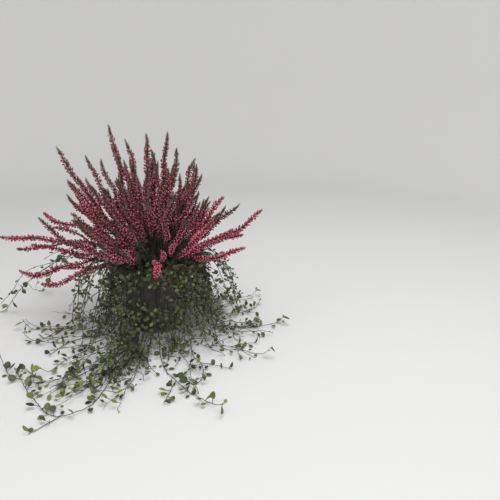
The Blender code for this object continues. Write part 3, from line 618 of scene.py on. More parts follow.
def bend_clear(sprays, radii, runners):
    """Bends the spikes away from each other, from other stems and from the runners, over a fixed number of
    rounds.
    """
    rounds, rounds_a_list, looked_within, runner_step = 240, 15, 0.022, 0.006
    points, girths, owners, freedom, after_fork, routes = [], [], [], [], [], []

    def add(path, sizes, owner, free, fork_free):
        routes.append((len(points), len(points) + len(path), owner))
        points.extend(path)
        girths.extend(sizes)
        owners.extend([owner] * len(path))
        freedom.extend(free)
        after_fork.extend(fork_free)

    anchors = {}
    for owner, ((trunk, spikes, forks_at), radius) in enumerate(zip(sprays, radii)):
        add(trunk, [TRUNK_RADIUS] * len(trunk), owner, [0] * len(trunk), [0] * len(trunk))
        main = len(routes)
        for k, path in enumerate(spikes):
            shares = np.linspace(0, 1, len(path))
            past = np.minimum(1, lengths_along(path) / FORK_CLOSE)
            if k:
                anchors[len(routes)] = (main, forks_at[k])
            free = np.minimum(1, 2.0 * shares)
            add(path, [girth(s, radius) for s in shares], owner, free, past if k else past**0)
    for number, path in enumerate(runners):
        path = even(path, runner_step)
        add(path, [RUNNER_RADIUS] * len(path), len(sprays) + number, [0] * len(path), [1] * len(path))

    points, girths, owners = np.array(points), np.array(girths), np.array(owners)
    freedom, after_fork = np.array(freedom, float), np.array(after_fork, float)
    of_route = np.concatenate([[k] * (last - first) for k, (first, last, _) in enumerate(routes)])
    movable = [k for k, (first, last, _) in enumerate(routes) if freedom[first:last].any()]
    for turn in range(rounds):
        if turn % rounds_a_list == 0:
            span = np.sqrt(((points[:, None, :] - points[None, :, :]) ** 2).sum(axis=2))
            near = (span < looked_within) & (of_route[:, None] != of_route[None, :]) & (freedom[:, None] > 0)
            one, other = np.nonzero(near)
            wanted = girths[one] + girths[other] + SPIKE_CLEARANCE
            at_fork = np.minimum(after_fork[one], after_fork[other])
            wanted = np.where(owners[one] == owners[other], wanted * at_fork, wanted)
        between = points[one] - points[other]
        distance = np.linalg.norm(between, axis=1) + 1e-9
        share = 0.5 * np.maximum(0, wanted - distance) / distance * freedom[one]
        push = np.zeros_like(points)
        np.add.at(push, one, between * share[:, None])
        for k in movable:
            first, last, _ = routes[k]
            run = push[first:last].copy()
            for _ in range(4):
                run[1:-1] = (run[:-2] + 2 * run[1:-1] + run[2:]) / 4
                run[-1] = (run[-2] + run[-1]) / 2
                run[0] = 0
            points[first:last] += run
            if k in anchors:
                main, at = anchors[k]
                points[first:last] += points[routes[main][0] + at] - points[first]
    moved = [[] for _ in sprays]
    for k in movable:
        first, last, owner = routes[k]
        moved[owner].append(points[first:last])
    return moved


draw = random.Random(22)
rows = SPRAYS + SHOOTS
radii = [SPIKE_RADIUS] * len(SPRAYS) + [SHOOT_RADIUS] * len(SHOOTS)
sprays = [spray_paths(row, root, draw) for row, root in zip(rows, stem_roots(rows))]
spikes_of = bend_clear(sprays, radii, runners)

BUD_STEP = 0.0033
BUDS_ROUND = 4
BUD_REACH = 0.0060
BUD_WIDTH = 0.00150
# A spike's buds swell over this length at its foot and shrink over this length towards its tip
SWELLS_OVER = 0.012
TAPERS_OVER = 0.020
GREEN_TIP = 0.011
# A spike whose painted light and redness is above this is in bud to its end
OPEN_TO_ITS_END = 0.62
# The share of the other spikes that are still green, how much greener than usual those are, and how much
# less green the ones in bud to their ends are
GREEN_CHANCE = 0.12
GREENER = 0.35
STEM_GIRTH = 0.0008
CORE_GIRTH = 0.0012
SCALE_STEP = 0.0017
SCALE_LENGTH = 0.0034
# The scale leaves between the buds, at the green tip, and on a side twig
AMONG_BUDS_STEP, AMONG_BUDS_LENGTH = 0.0060, 0.0038
TIP_STEP, TIP_LENGTH = 0.0016, 0.0042
TWIG_SCALE_STEP = 0.0016
TWIG_STEP = 0.0060
TRUNK_TWIG_LENGTH = 0.016
SPIKE_TWIG_LENGTH = 0.013
# A closed bud along its own x: from the point of its thin stalk over the calyx and the petals to its end
BUD_RINGS = [(0.42, 0.58), (0.76, 1.0)]
quarters = np.arange(4) * math.pi / 2
bud_sides = [(x, r * math.cos(a), r * math.sin(a)) for x, r in BUD_RINGS for a in quarters]
bud_points = np.array([(0, 0, 0), *bud_sides, (1.0, 0, 0)])
bud_faces = []
for i in range(4):
    j = (i + 1) % 4
    bud_faces += [(0, 1 + j, 1 + i), (1 + i, 1 + j, 5 + i), (1 + j, 5 + j, 5 + i), (5 + i, 5 + j, 9)]
bud = (bud_points, np.array(bud_faces))
# A scale leaf along its own x: a narrow three-sided wedge, widest a third of the way up
scale_points = np.array([(0, 0, 0), (0.35, 0.55, 0.05), (0.35, -0.55, 0.05), (0.35, 0, -0.5), (1, 0, 0)])
scale_faces = np.array([(0, 1, 2), (0, 2, 3), (0, 3, 1), (2, 1, 4), (3, 2, 4), (1, 3, 4)])
scale_leaf = (scale_points, scale_faces)


def directions_along(points):
    return unit_rows(np.gradient(points, axis=0))


def across(tangents):
    """Two unit vectors square to each tangent, carried along the path without twisting."""
    first = np.cross(tangents[0], [0.31, 0.94, 0.12])
    sides, ups = [], []
    for tangent in tangents:
        first = unit(first - tangent * (first @ tangent))
        sides.append(first)
        ups.append(np.cross(tangent, first))
    return np.array(sides), np.array(ups)


def tube(path, radii, sides):
    """A closed round stem along a path, pointed at both ends."""
    ahead = directions_along(path)
    first, second = across(ahead)
    angles = 2 * math.pi * np.arange(sides) / sides
    ring = np.cos(angles)[None, :, None] * first[:, None, :]
    ring = ring + np.sin(angles)[None, :, None] * second[:, None, :]
    points = (path[:, None, :] + np.asarray(radii)[:, None, None] * ring).reshape(-1, 3)
    points = np.vstack([points, path[0] - radii[0] * ahead[0], path[-1] + radii[-1] * ahead[-1]])
    i = np.arange(sides)
    j = (i + 1) % sides
    low = (sides * np.arange(len(path) - 1))[:, None]
    high = low + sides
    walls = [np.stack([low + i, low + j, high + j], axis=2), np.stack([low + i, high + j, high + i], axis=2)]
    last = sides * (len(path) - 1)
    foot, tip = 0 * i + len(points) - 2, 0 * i + len(points) - 1
    caps = [np.stack([j, i, foot], axis=1), np.stack([last + i, last + j, tip], axis=1)]
    return points, np.vstack([wall.reshape(-1, 3) for wall in walls] + caps)


def wood(path, foot, tip, sides):
    """A woody stem of the heather that thins evenly from its foot to its tip."""
    return (*tube(path, np.linspace(foot, tip, len(path)), sides), heath_wood, (0, 0.5, 0))


def set_round(path, places, turns, opens):
    """Where small growths sit round a stem, the way straight out from it, the way that each growth points,
    opened out by its angle, and the way across it."""
    along = lengths_along(path)
    ahead = directions_along(path)
    rows = (path, ahead, *across(ahead))
    centre, tangent, side, up = (read_at(row, along, places) for row in rows)
    out = np.cos(turns)[:, None] * side + np.sin(turns)[:, None] * up
    way = np.cos(opens)[:, None] * tangent + np.sin(opens)[:, None] * out
    return centre, out, way, np.cross(out, tangent)


def sized(axes, sizes):
    """The three axes of each copy, each made as long as its size."""
    return np.stack([axis * size[:, None] for axis, size in zip(axes, sizes)], axis=1)


def scales_on(path, places, length, opening, dice, growth, count=4):
    """Rings of scale leaves, each ring set between the last one's leaves, pressed close along a stem."""
    offset = (np.arange(len(places)) % 2)[:, None] / 2
    turns = (np.arange(count)[None, :] + offset).ravel() * 2 * math.pi / count
    turns = turns + dice.uniform(-0.25, 0.25, len(turns))
    places = np.repeat(places, count) + dice.uniform(-0.0004, 0.0004, len(turns))
    opens = opening + dice.uniform(-0.12, 0.12, len(turns))
    centre, out, way, beside = set_round(path, places, turns, opens)
    long = np.broadcast_to(length, (len(places) // count,)).repeat(count) * dice.uniform(0.8, 1.2, len(turns))
    axes = sized([way, beside, np.cross(way, beside)], [long, 0.30 * long, 0.26 * long])
    points, faces = copies(scale_leaf, centre + 0.0004 * out, axes)
    varies = np.repeat(dice.random(len(turns)), len(scale_points))
    grown = np.tile(scale_points[:, 0], len(turns))
    return points, faces, heath_green, np.stack([grown, varies, np.full(len(points), growth)], axis=1)


def leafy_twig(path, dice, young):
    """A short thin side twig with scale leaves to its end."""
    total = lengths_along(path)[-1]
    fine = even(path, 0.003)
    places = np.arange(0.0008, total, TWIG_SCALE_STEP)
    lengths = SCALE_LENGTH * np.minimum(1.0, 0.35 + (total - places) / 0.008)
    return [wood(fine, 0.0005, 0.00025, 3), scales_on(fine, places, lengths, 0.60, dice, young, 3)]


def buds_on(path, first, last, radius, dice, lit_and_red, unripe):
    """Closed buds in close whorls along part of a spike, shorter towards its tip."""
    places = np.arange(first, last, BUD_STEP)
    round_stem = 2 * math.pi / BUDS_ROUND * np.arange(BUDS_ROUND)[None, :]
    turns = (round_stem + math.pi / 4 * np.arange(len(places))[:, None]).ravel()
    turns = turns + dice.uniform(-0.2, 0.2, len(turns))
    places = np.repeat(places, BUDS_ROUND) + dice.uniform(-0.0005, 0.0005, len(turns))
    along = (places - first) / (last - first)
    swelling = np.clip((places - first) / SWELLS_OVER, 0.45, 1)
    swelling = swelling * np.clip((last - places) / TAPERS_OVER, 0.05, 1) ** 0.6
    reach = BUD_REACH * radius / SPIKE_RADIUS * (0.32 + 0.68 * swelling)
    reach = reach * dice.uniform(0.74, 1.14, len(turns))
    opens = 1.05 - 0.15 * along + dice.uniform(-0.24, 0.24, len(turns))
    centre, out, way, beside = set_round(path, places, turns, opens)
    long = (reach - STEM_GIRTH) / np.sin(opens)
    wide = BUD_WIDTH * (0.55 + 0.45 * swelling) * dice.uniform(0.70, 1.12, len(turns))
    axes = sized([way, beside, np.cross(way, beside)], [long, wide, wide])
    points, faces = copies(bud, centre + 0.5 * STEM_GIRTH * out, axes)
    count = len(bud_points)
    grown = np.tile(bud_points[:, 0], len(turns))
    # Painted shade: buds close to the pot's middle, deep in the bush, are painted darker, and buds on sprays
    # in the light are painted lighter
    lit = np.clip((np.linalg.norm(centre[:, :2], axis=1) - 0.030) / 0.050, 0.45, 1.0)
    varies = np.repeat(np.clip(lit_and_red * lit + dice.normal(0, 0.28, len(turns)), 0, 1), count)
    greener = np.repeat(along + unripe + dice.normal(0, 0.12, len(turns)), count)
    return points, faces, bud_pink, np.stack([grown, varies, greener], axis=1)


def bud_finish():
    """Papery buds: a brown-green stalk and calyx, crimson to magenta petals and pale pink points, with
    painted light
    and shade: a darker shaded and a lighter sunlit copy of the colours. They turn grey-green near a spike's
    tip, and each bud differs a little."""
    finish = Finish("heather_buds", 0.62, 0.3)
    grown, lit_and_red, up_spike = finish.growth()
    shaded = [
        (0.10, (0.046, 0.036, 0.022)), (0.42, (0.110, 0.026, 0.036)),
        (0.72, (0.26, 0.050, 0.090)), (0.94, (0.57, 0.24, 0.285)),
    ]
    sunlit = [
        (0.10, (0.060, 0.045, 0.022)), (0.42, (0.32, 0.018, 0.050)),
        (0.74, (0.66, 0.045, 0.140)), (0.96, (0.86, 0.27, 0.34)),
    ]
    # Painted light and shade: the petals mix a darker shaded copy of the bud colours with a lighter sunlit
    # copy, by the painted light of each bud
    shaded_buds, sunlit_buds = finish.ramp(grown, shaded), finish.ramp(grown, sunlit)
    petals = finish.mix(lit_and_red, shaded_buds, sunlit_buds)
    petals = finish.mix(finish.fade(up_spike, 0.78, 1.25), petals, (0.160, 0.132, 0.095))
    weathered = finish.ramp(finish.noise(380, 4), [(0.34, (0.45, 0.42, 0.42)), (0.66, (1.40, 1.36, 1.36))])
    finish.colour(finish.mix(1.0, petals, weathered, "MULTIPLY"))
    return finish.material


def scale_finish():
    """Dull dark green scale leaves that turn grey-green at the tips of the spikes."""
    finish = Finish("heather_leaves", 0.6, 0.3)
    grown, varies, young = finish.growth()
    old = finish.mix(varies, (0.018, 0.032, 0.014), (0.042, 0.066, 0.027))
    fresh = finish.mix(varies, (0.046, 0.054, 0.037), (0.088, 0.094, 0.062))
    blade, pale_point = finish.mix(young, old, fresh), (0.15, 0.155, 0.09)
    finish.colour(finish.mix(finish.fade(grown, 0.2, 1.8), blade, pale_point))
    return finish.material


def heath_bark():
    """Thin grey-brown bark."""
    finish = Finish("heather_bark", 0.85, 0.2)
    browns = [(0.35, (0.030, 0.020, 0.014)), (0.7, (0.085, 0.060, 0.042))]
    finish.colour(finish.ramp(finish.noise(420, 4), browns))
    finish.bump(finish.noise(1500, 3), 0.0002)
    return finish.material


bud_pink = bud_finish()
heath_green = scale_finish()
heath_wood = heath_bark()


def side_twigs(path, first, last, step, length, dice, young):
    """Short leafy twigs all round part of a stem, each bent up towards its own tip."""
    parts = []
    places = np.arange(first, last, step)
    turns = 2.4 * np.arange(len(places)) + dice.uniform(0, 6, 1)
    opens = dice.uniform(0.6, 1.1, len(places))
    centre, out, way, _ = set_round(path, places, turns, opens)
    for k in range(len(places)):
        size = length * dice.uniform(0.6, 1.25)
        bent = unit(way[k] + 0.5 * unit(way[k] - 0.8 * out[k]) + 0.15 * UP)
        half = centre[k] + 0.5 * size * way[k]
        twig = np.array([centre[k], half, half + 0.5 * size * bent])
        if twig[:, 2].min() > SOIL_TOP + 0.004:
            parts += leafy_twig(through(twig), dice, young)
    return parts


def trunk_parts(trunk, longest, bare, step, length, dice):
    """A woody stem up into the foot of its longest spike, with its twigs from above a bare foot."""
    stem = even(np.vstack([trunk, longest[1:3]]), 0.004)
    top = lengths_along(trunk)[-1]
    twigs = side_twigs(even(trunk, 0.002), ROOT_DEPTH + bare, top, step, length, dice, 0.1)
    return [wood(stem, TRUNK_RADIUS, STEM_GIRTH, 6)] + twigs


def swayed(path, dice):
    """A path with the slight waves of a grown stem, none at its foot."""
    path = smooth(path, 0.0015)
    first, second = across(directions_along(path))
    run = lengths_along(path)
    sway = 0.0030 * np.clip(run / 0.06, 0, 1)
    one = sway * np.sin(run / 0.014 + dice.uniform(0, 6))
    other = sway * np.sin(run / 0.019 + dice.uniform(0, 6))
    return path + one[:, None] * first + other[:, None] * second


def spike_parts(path, radius, dice, lit_and_red):
    """A whole spike: its stem, the leafy foot, the buds with scale leaves between them, and the green tip."""
    total = lengths_along(path)[-1]
    unripe = GREENER if dice.random() < GREEN_CHANCE else dice.uniform(-0.15, 0.12)
    flowers = FLOWERS_FROM * total
    tip = total - min(GREEN_TIP, 0.25 * total)
    if lit_and_red > OPEN_TO_ITS_END:
        unripe = -GREENER
        tip = total - 0.004
    stem = even(path, 0.005)
    spots, girths = [0, 0.2, 0.3, 0.85, 1], [STEM_GIRTH, STEM_GIRTH, CORE_GIRTH, CORE_GIRTH, 0.0004]
    core = np.interp(np.linspace(0, 1, len(stem)), spots, girths)
    leafy = np.arange(0.001, flowers + 0.004, SCALE_STEP)
    among_buds = np.arange(flowers, tip, AMONG_BUDS_STEP)
    ends = np.arange(tip - 0.004, total, TIP_STEP)
    sizes = TIP_LENGTH * np.clip(0.35 + (total - ends) / 0.012, 0, 1)
    return [
        (*tube(stem, core, 4), heath_wood, (0, 0.5, 0)),
        buds_on(path, flowers, tip + 0.004, radius, dice, lit_and_red, unripe),
        scales_on(path, leafy, SCALE_LENGTH, 0.60, dice, 0.0),
        scales_on(path, among_buds, AMONG_BUDS_LENGTH, 0.70, dice, 0.3),
        scales_on(path, ends, sizes, 0.80, dice, 0.8),
    ]


def side_spikes(path, every, dice):
    """Shorter spikes that fork off a spike all round its lower half and grow on beside it."""
    total = lengths_along(path)[-1]
    count = max(1, round(total / every))
    places = total * np.linspace(0.06, 0.48, count)
    turns = 2.4 * np.arange(count) + dice.uniform(0, 6)
    starts, out, way, _ = set_round(path, places, turns, np.zeros(count))
    grown = []
    for start, aside, ahead, place in zip(starts, out, way, places):
        length = (total - place) * dice.uniform(0.42, 0.72)
        end = start + length * unit(ahead + dice.uniform(0.16, 0.34) * aside + 0.04 * UP)
        low = SOIL_TOP + 0.016
        if end[2] > low:
            grown.append(swayed(bowed(start, ahead + 0.9 * aside, end, ahead + 0.15 * UP)[::3], dice))
    return grown


SIDE_SPIKE_EVERY = 0.075
# Sprays that fork more often than the others
FULLER = {3: 0.040, 10: 0.040, 12: 0.045, 14: 0.050, 20: 0.026}
# How lit and how red each spray's buds are painted, from the shaded to the sunlit colours: high for the long
# ones at the left and those at the front and the right, which stand in the light
PAINTED_LIGHT_AND_RED = {
    2: 0.40, 3: 0.45, 11: 0.42, 14: 0.62, 15: 0.55, 16: 0.80,
    17: 0.75, 19: 0.34, 20: 0.95, 21: 0.95, 22: 0.90,
}
for number, ((trunk, _, _), spikes, _) in enumerate(zip(sprays, spikes_of, SPRAYS)):
    dice = np.random.default_rng(100 + number)
    lit_and_red = PAINTED_LIGHT_AND_RED.get(number, 0.22) + dice.uniform(-0.08, 0.08)
    parts = trunk_parts(trunk, spikes[0], 0.006, TWIG_STEP, TRUNK_TWIG_LENGTH, dice)
    for path in spikes:
        path = swayed(path, dice)
        leafy = (FLOWERS_FROM + 0.02) * lengths_along(path)[-1]
        parts += spike_parts(path, SPIKE_RADIUS, dice, lit_and_red + dice.uniform(-0.18, 0.18))
        parts += side_twigs(path, 0.004, leafy, TWIG_STEP, SPIKE_TWIG_LENGTH, dice, 0.15)
        for side in side_spikes(path, FULLER.get(number, SIDE_SPIKE_EVERY), dice):
            parts += spike_parts(side, 0.88 * SPIKE_RADIUS, dice, lit_and_red + dice.uniform(-0.2, 0.15))
    spray = piece(f"heather_flowers_{number + 1:02d}", parts)
    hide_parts(f"heather_spray_{number + 1:02d}")

# The leafy shoots
# Short dark green shoots of the same heather that haven't flowered. They stand between the sprays, low in the
# pot, each a woody stem with side stems and many short twigs of scale leaves.

# Step and length of the twigs on a shoot's trunk and on its side stems, and of the scale leaves on those
GREEN_TRUNK_TWIGS = (0.004, 0.018)
GREEN_SIDE_TWIGS = (0.0042, 0.014)
GREEN_SCALES = (0.0014, 0.0036)
# The twigs that rise from the compost round each shoot: how many, how far from the pot's middle at most,
# how far they lean out (the taller ones in the middle don't), how much the lean varies, their length, and
# how young they are at most
LOW_TWIGS = [
    (26, 0.050, (0.1, 0.8), 0.20, (0.026, 0.060), 0.5),
    (17, 0.024, None, 0.22, (0.054, 0.088), 0.3),
]


def low_twig(within, leans_out, varies, lengths, youngest, dice):
    """A leafy twig that rises from the compost."""
    angle, reach = dice.uniform(0, 2 * math.pi), within * math.sqrt(dice.random())
    foot = np.array([reach * math.cos(angle), reach * math.sin(angle), SOIL_TOP - 0.002])
    lean = unit(foot * [1, 1, 0]) * dice.uniform(*leans_out) + UP if leans_out else UP
    lean = lean + varies * dice.normal(size=3)
    end = foot + dice.uniform(*lengths) * unit(lean)
    return leafy_twig(bowed(foot, UP, end, lean)[::4], dice, dice.uniform(0.0, youngest))


for number, ((trunk, _, _), spikes) in enumerate(zip(sprays[len(SPRAYS):], spikes_of[len(SPRAYS):])):
    dice = np.random.default_rng(300 + number)
    parts = trunk_parts(trunk, spikes[0], 0.005, *GREEN_TRUNK_TWIGS, dice)
    for path in spikes:
        fine = smooth(path, 0.0012)
        total = lengths_along(fine)[-1]
        parts.append(wood(even(fine, 0.003), STEM_GIRTH, 0.0003, 4))
        step, length = GREEN_SCALES
        parts.append(scales_on(fine, np.arange(0.001, total, step), length, 0.6, dice, 0.25))
        parts += side_twigs(fine, 0.004, 0.85 * total, *GREEN_SIDE_TWIGS, dice, 0.25)
    for count, *growing in LOW_TWIGS:
        for _ in range(count):
            parts += low_twig(*growing, dice)
    shoot = piece(f"heather_greenery_{number + 1}", parts)
    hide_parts(f"leafy_shoot_{number + 1}")

# The vine
# Wire vine: dark wiry stems no thicker than a match, with a small round waxy leaf or two at each joint.
# Old leaves are dark olive, and the young ones at the free ends are larger and yellow-green. Each runner is
# rooted in the compost, and shorter runners of the same plant hang and lie beside it.

SIDE_RADIUS = 0.0007
RUNNER_NODE = 0.0015
BARE_FOOT = 0.022
LEAF_LENGTH = 0.0150
LEAF_WIDTH = 0.0105
HANGING_STEP = 0.0172
LYING_STEP = 0.0310
SHOOT_STEP = 0.0172
PAIRED = 0.15
CLEAR = 0.0005
NEAR_WALL = 0.002
STEM_BALLS = 0.0025
STEM_MARGIN = 0.0006
WIRE = 0.00070
# Side shoots: how far along the runner they fork, and their length in mm
FORKS = {
    "close": [(0.15, 44), (0.34, 40), (0.72, 48)],
    "arching": [(0.17, 40), (0.36, 40), (0.74, 44)],
    "reaching": [(0.13, 34), (0.40, 32)],
}


def side_path(start, along, side, length, low):
    """A side shoot that leaves its runner at about 50 degrees and droops a little, above the surface."""
    aim = unit(0.65 * along + 0.8 * unit(side - along * (side @ along)))
    points, steps, droop = [start], 3, 0.16
    for _ in range(steps):
        aim = unit(aim - droop * UP)
        reached = points[-1] + length / steps * aim
        reached[2] = max(reached[2], low)
        points.append(reached)
    return np.array(points)


class Crowd:
    """The space already taken, as balls with the name of what they belong to."""

    def __init__(self):
        self.centres, self.radii, self.owners = [], [], []

    def add(self, centres, radii, owner):
        self.centres.extend(centres)
        self.radii.extend(radii)
        self.owners.extend([owner] * len(centres))

    def room(self, centres, radii, owner, base):
        """The smallest gap from these balls to everything but the owner's own stems round the base."""
        taken = np.array(self.centres)
        own = np.array(self.owners) == owner
        own_here = own & (np.linalg.norm(taken - base, axis=1) < 0.005)
        between = np.linalg.norm(np.array(centres)[:, None, :] - taken[None, :, :], axis=2)
        own_share = np.where(own, 0.6, 1)
        gaps = between - np.array(radii)[:, None] * own_share[None, :] - np.array(self.radii)[None, :]
        return gaps[:, ~own_here].min()


def in_pot(balls, sizes):
    """True if a ball touches the pot or the compost."""
    for (x, y, z), size in zip(balls, sizes):
        radius = math.hypot(x, y)
        if z < SOIL_TOP + SOIL_CROWN + size + CLEAR and radius < wall_radius(z) + size + CLEAR:
            return True
        if z < POT_HEIGHT + size + CLEAR and abs(radius - POT_RADIUS + WALL) < NEAR_WALL + size + CLEAR:
            return True
    return False


class Leaf:
    """Where a leaf is: its base, the way it points, the way it faces, its size and the space it takes."""

    def __init__(self, base, aim, normal, length, width):
        self.base, self.aim, self.normal, self.length, self.width = base, aim, normal, length, width
        side = np.cross(normal, aim)
        outline = ((0.42, 0.46), (0.80, 0.38), (1.0, 0.0), (0.80, -0.38), (0.42, -0.46))
        rim = [base + x * length * aim + y * width * side for x, y in outline]
        crown = base + 0.62 * length * aim + 0.0009 * normal
        self.balls = [base + 0.34 * length * aim, base + 0.66 * length * aim]
        self.sizes = [0.26 * width, 0.56 * width]
        self.lowest = min(point[2] for point in rim + [crown])
        self.in_pot = in_pot(self.balls, self.sizes) or in_pot(rim, [0.001] * len(rim))


def leaves_on(path, owner, crowd, draw, places, size):
    """Leaves along a stem, one or two to a joint, each turned until it is clear of everything else."""
    along = lengths_along(path)
    ahead = directions_along(path)
    leaves, turn = [], draw.uniform(0, 2 * math.pi)
    for place in places:
        base = spaced(path, [place])[0]
        way = unit(read_at(ahead, along, [place])[0])
        side = unit(np.cross(way, [0.05, 0.02, 1.0]))
        up = np.cross(side, way)
        growths = []
        for _ in range(2 if draw.random() < PAIRED else 1):
            length = LEAF_LENGTH * size * draw.uniform(0.80, 1.08)
            width = LEAF_WIDTH * size * draw.uniform(0.88, 1.06)
            lean, roll = draw.uniform(0.2, 0.65), draw.uniform(-0.6, 0.6)
            for tries in range(3 if growths else 16):
                angle = turn + tries * 0.45 * (1 if tries % 2 else -1)
                if growths:
                    angle = turn + (2 * math.pi / 3 if tries % 2 else -2 * math.pi / 3)
                out = math.cos(angle) * side + math.sin(angle) * up
                aim = unit(out + lean * way)
                face = unit(way - aim * (way @ aim))
                face = math.cos(roll) * face + math.sin(roll) * np.cross(aim, face)
                leaf = Leaf(base + 0.7 * RUNNER_NODE * way, aim, face, length, width)
                if leaf.lowest < 0.0004 or leaf.in_pot:
                    continue
                if crowd.room(leaf.balls, leaf.sizes, owner, base) > CLEAR:
                    growths.append(leaf)
                    crowd.add(leaf.balls, leaf.sizes, owner + " leaf")
                    turn = angle
                    break
        leaves += growths
        turn += math.pi + draw.uniform(-0.7, 0.7)
    return leaves


def side_shoots(path, owner, hang, crowd, draw):
    """Side shoots of a runner, each with the places of its leaves."""
    along = lengths_along(path)
    ahead = directions_along(path)
    shoots = []
    for k, (share, length) in enumerate(FORKS[hang]):
        place = share * along[-1]
        start = spaced(path, [place])[0]
        way = unit(read_at(ahead, along, [place])[0])
        outward = unit(start * [1, 1, 0])
        for sign in (1, -1) if k % 2 else (-1, 1):
            side = sign * np.cross(way, UP) + 0.25 * UP + 0.2 * outward
            shoot = side_path(start, way, side, length * draw.uniform(0.85, 1.1) / 1000, SIDE_RADIUS + 0.0006)
            fine = even(shoot, 0.004)[2:]
            sizes = [SIDE_RADIUS] * len(fine)
            clear = crowd.room(fine, [s + 0.001 for s in sizes], owner, start) > CLEAR
            if clear and not in_pot(fine, sizes):
                kept = even(shoot, STEM_BALLS)[3:]
                crowd.add(kept, [SIDE_RADIUS + STEM_MARGIN] * len(kept), owner)
                size = lengths_along(shoot)[-1]
                count = max(2, round(size / SHOOT_STEP))
                shoots.append((place, shoot, np.linspace(0.013, size - 0.004, count)))
                break
    return shoots


def leaf_places(path, shoots):
    """Where a runner's own leaves stand: close together where it hangs, further apart where it lies."""
    total = lengths_along(path)[-1]
    fine = even(path, 0.002)
    hung = lengths_along(fine)[np.argmax((fine[:, 2] < LYING) & (np.arange(len(fine)) > 20))]
    places = list(np.arange(BARE_FOOT, hung - 0.5 * HANGING_STEP, HANGING_STEP))
    places += list(np.linspace(hung, total - 0.005, max(2, round((total - hung) / LYING_STEP))))
    return [p for p in places if all(abs(p - shoot[0]) > 0.005 for shoot in shoots)]


crowd = Crowd()
for number, ((trunk, _, _), spikes, radius) in enumerate(zip(sprays, spikes_of, radii)):
    crowd.add(trunk, [TRUNK_RADIUS] * len(trunk), f"heather {number}")
    for path in spikes:
        fine = even(path, 0.004)
        sizes = [girth(share, radius) + 0.0005 for share in np.linspace(0, 1, len(fine))]
        crowd.add(fine, sizes, f"heather {number}")
for number, path in enumerate(runners):
    fine = even(path, STEM_BALLS)
    crowd.add(fine, [RUNNER_RADIUS + STEM_MARGIN] * len(fine), f"runner {number}")

# Half of a blade's outline along its own x, to its end at 1, as wide as 1: a fine one for the leaves that are
# set one by one, and a plain one for the many small leaves
FINE_RIM = [(0.20, 0.0), (0.27, 0.23), (0.42, 0.43), (0.61, 0.49), (0.79, 0.40), (0.93, 0.20), (1.0, 0.0)]
PLAIN_RIM = [(0.35, 0.0), (0.46, 0.36), (0.68, 0.50), (0.89, 0.34), (1.0, 0.0)]
MIDRIB_DEPTH = 0.05
BLADE_THICKNESS = 0.03
STALK_RADIUS = 0.055
STALK_ENDS = (-0.04, 0.38)


def blade_shape(rim, midrib, veined):
    """A closed blade, cupped along its midrib, from half its outline and the places of its midrib. It gives
    the points, the faces of the top and of the underside, and how clearly the midrib shows."""
    outline = rim + [(x, -y) for x, y in rim[-2:0:-1]]
    points = [(x, y, 0.34 * y * y - 0.10 * max(0, x - 0.5) ** 2) for x, y in outline]
    points += [(x, 0, -MIDRIB_DEPTH) for x in midrib]
    points += [(x, 0, -MIDRIB_DEPTH - BLADE_THICKNESS) for x in midrib]
    count, middles = len(outline), len(midrib)
    nearest = [count + int(np.abs(np.array(midrib) - x).argmin()) for x, _ in outline]
    top = []
    for i in range(count):
        j = (i + 1) % count
        top.append((i, j, nearest[i]))
        if nearest[i] != nearest[j]:
            top.append((j, nearest[j], nearest[i]))
    top = np.array(top)[:, ::-1]
    under = np.where(top >= count, top + middles, top)[:, ::-1]
    return np.array(points), top, under, veined


fine_blade = blade_shape(FINE_RIM, [0.40, 0.70], 1.0)
plain_blade = blade_shape(PLAIN_RIM, [0.66], 0.0)
corners = [(STALK_RADIUS * math.cos(a), STALK_RADIUS * math.sin(a)) for a in (0, 2.1, 4.2)]
stalk_points = np.array([(x, y, z) for x in STALK_ENDS for y, z in corners])
stalk_faces = np.array([(0, 1, 4), (0, 4, 3), (1, 2, 5), (1, 5, 4), (2, 0, 3), (2, 3, 5)])
stalk = (stalk_points, stalk_faces)


def vine_leaf_finish(name, dark, olive, fresh, roughness):
    """Waxy leaf: dark olive to fresh yellow-green by its age, each a little different, the midrib paler."""
    finish = Finish(name, roughness, 0.25)
    middle, varies, young = finish.growth()
    blade = finish.mix(finish.fade(young, 0.25, 1.0), finish.mix(varies, dark, olive), fresh)
    vein = finish.mix(0.15, blade, (0.30, 0.36, 0.16))
    finish.colour(finish.mix(finish.fade(middle, 0.72, 1.0), blade, vein))
    finish.bump(finish.noise(700, 2), 0.0002, 0.4)
    return finish.material


def vine_bark():
    """Dark grey-brown wiry stems."""
    finish = Finish("vine_stems", 0.6, 0.35)
    _, varies, young = finish.growth()
    old = finish.mix(varies, (0.027, 0.022, 0.018), (0.062, 0.051, 0.040))
    finish.colour(finish.mix(young, old, (0.10, 0.075, 0.030)))
    return finish.material


# The dark, olive and fresh greens of the leaves' tops and undersides
TOP_GREENS = [(0.036, 0.048, 0.026), (0.096, 0.118, 0.058), (0.24, 0.31, 0.055)]
UNDER_GREENS = [(0.060, 0.072, 0.046), (0.118, 0.136, 0.080), (0.25, 0.30, 0.100)]
vine_top = vine_leaf_finish("vine_leaves", *TOP_GREENS, 0.48)
vine_under = vine_leaf_finish("vine_undersides", *UNDER_GREENS, 0.6)
vine_stem = vine_bark()


def blades(shape, bases, aims, faces, lengths, widths, young, dice):
    """The blades and stalks of many leaves at once."""
    blade_points, blade_top, blade_under, veined = shape
    sides = np.cross(faces, aims)
    depths = widths * dice.uniform(0.5, 1.5, len(widths))
    axes = sized([aims, sides, faces], [lengths, widths, depths])
    points, top = copies((blade_points, blade_top), bases, axes)
    _, under = copies((blade_points, blade_under), bases, axes)
    count = len(blade_points)
    middle = np.tile(veined * (1 - 2 * np.abs(blade_points[:, 1])), len(bases))
    growth = np.stack([middle, np.repeat(dice.random(len(bases)), count), np.repeat(young, count)], axis=1)
    stalks = copies(stalk, bases, sized([aims, sides, faces], [lengths, widths, widths]))
    return [
        (points, top, vine_top, growth),
        (points, under, vine_under, growth),
        (*stalks, vine_stem, (0, 0.9, 0.6)),
    ]


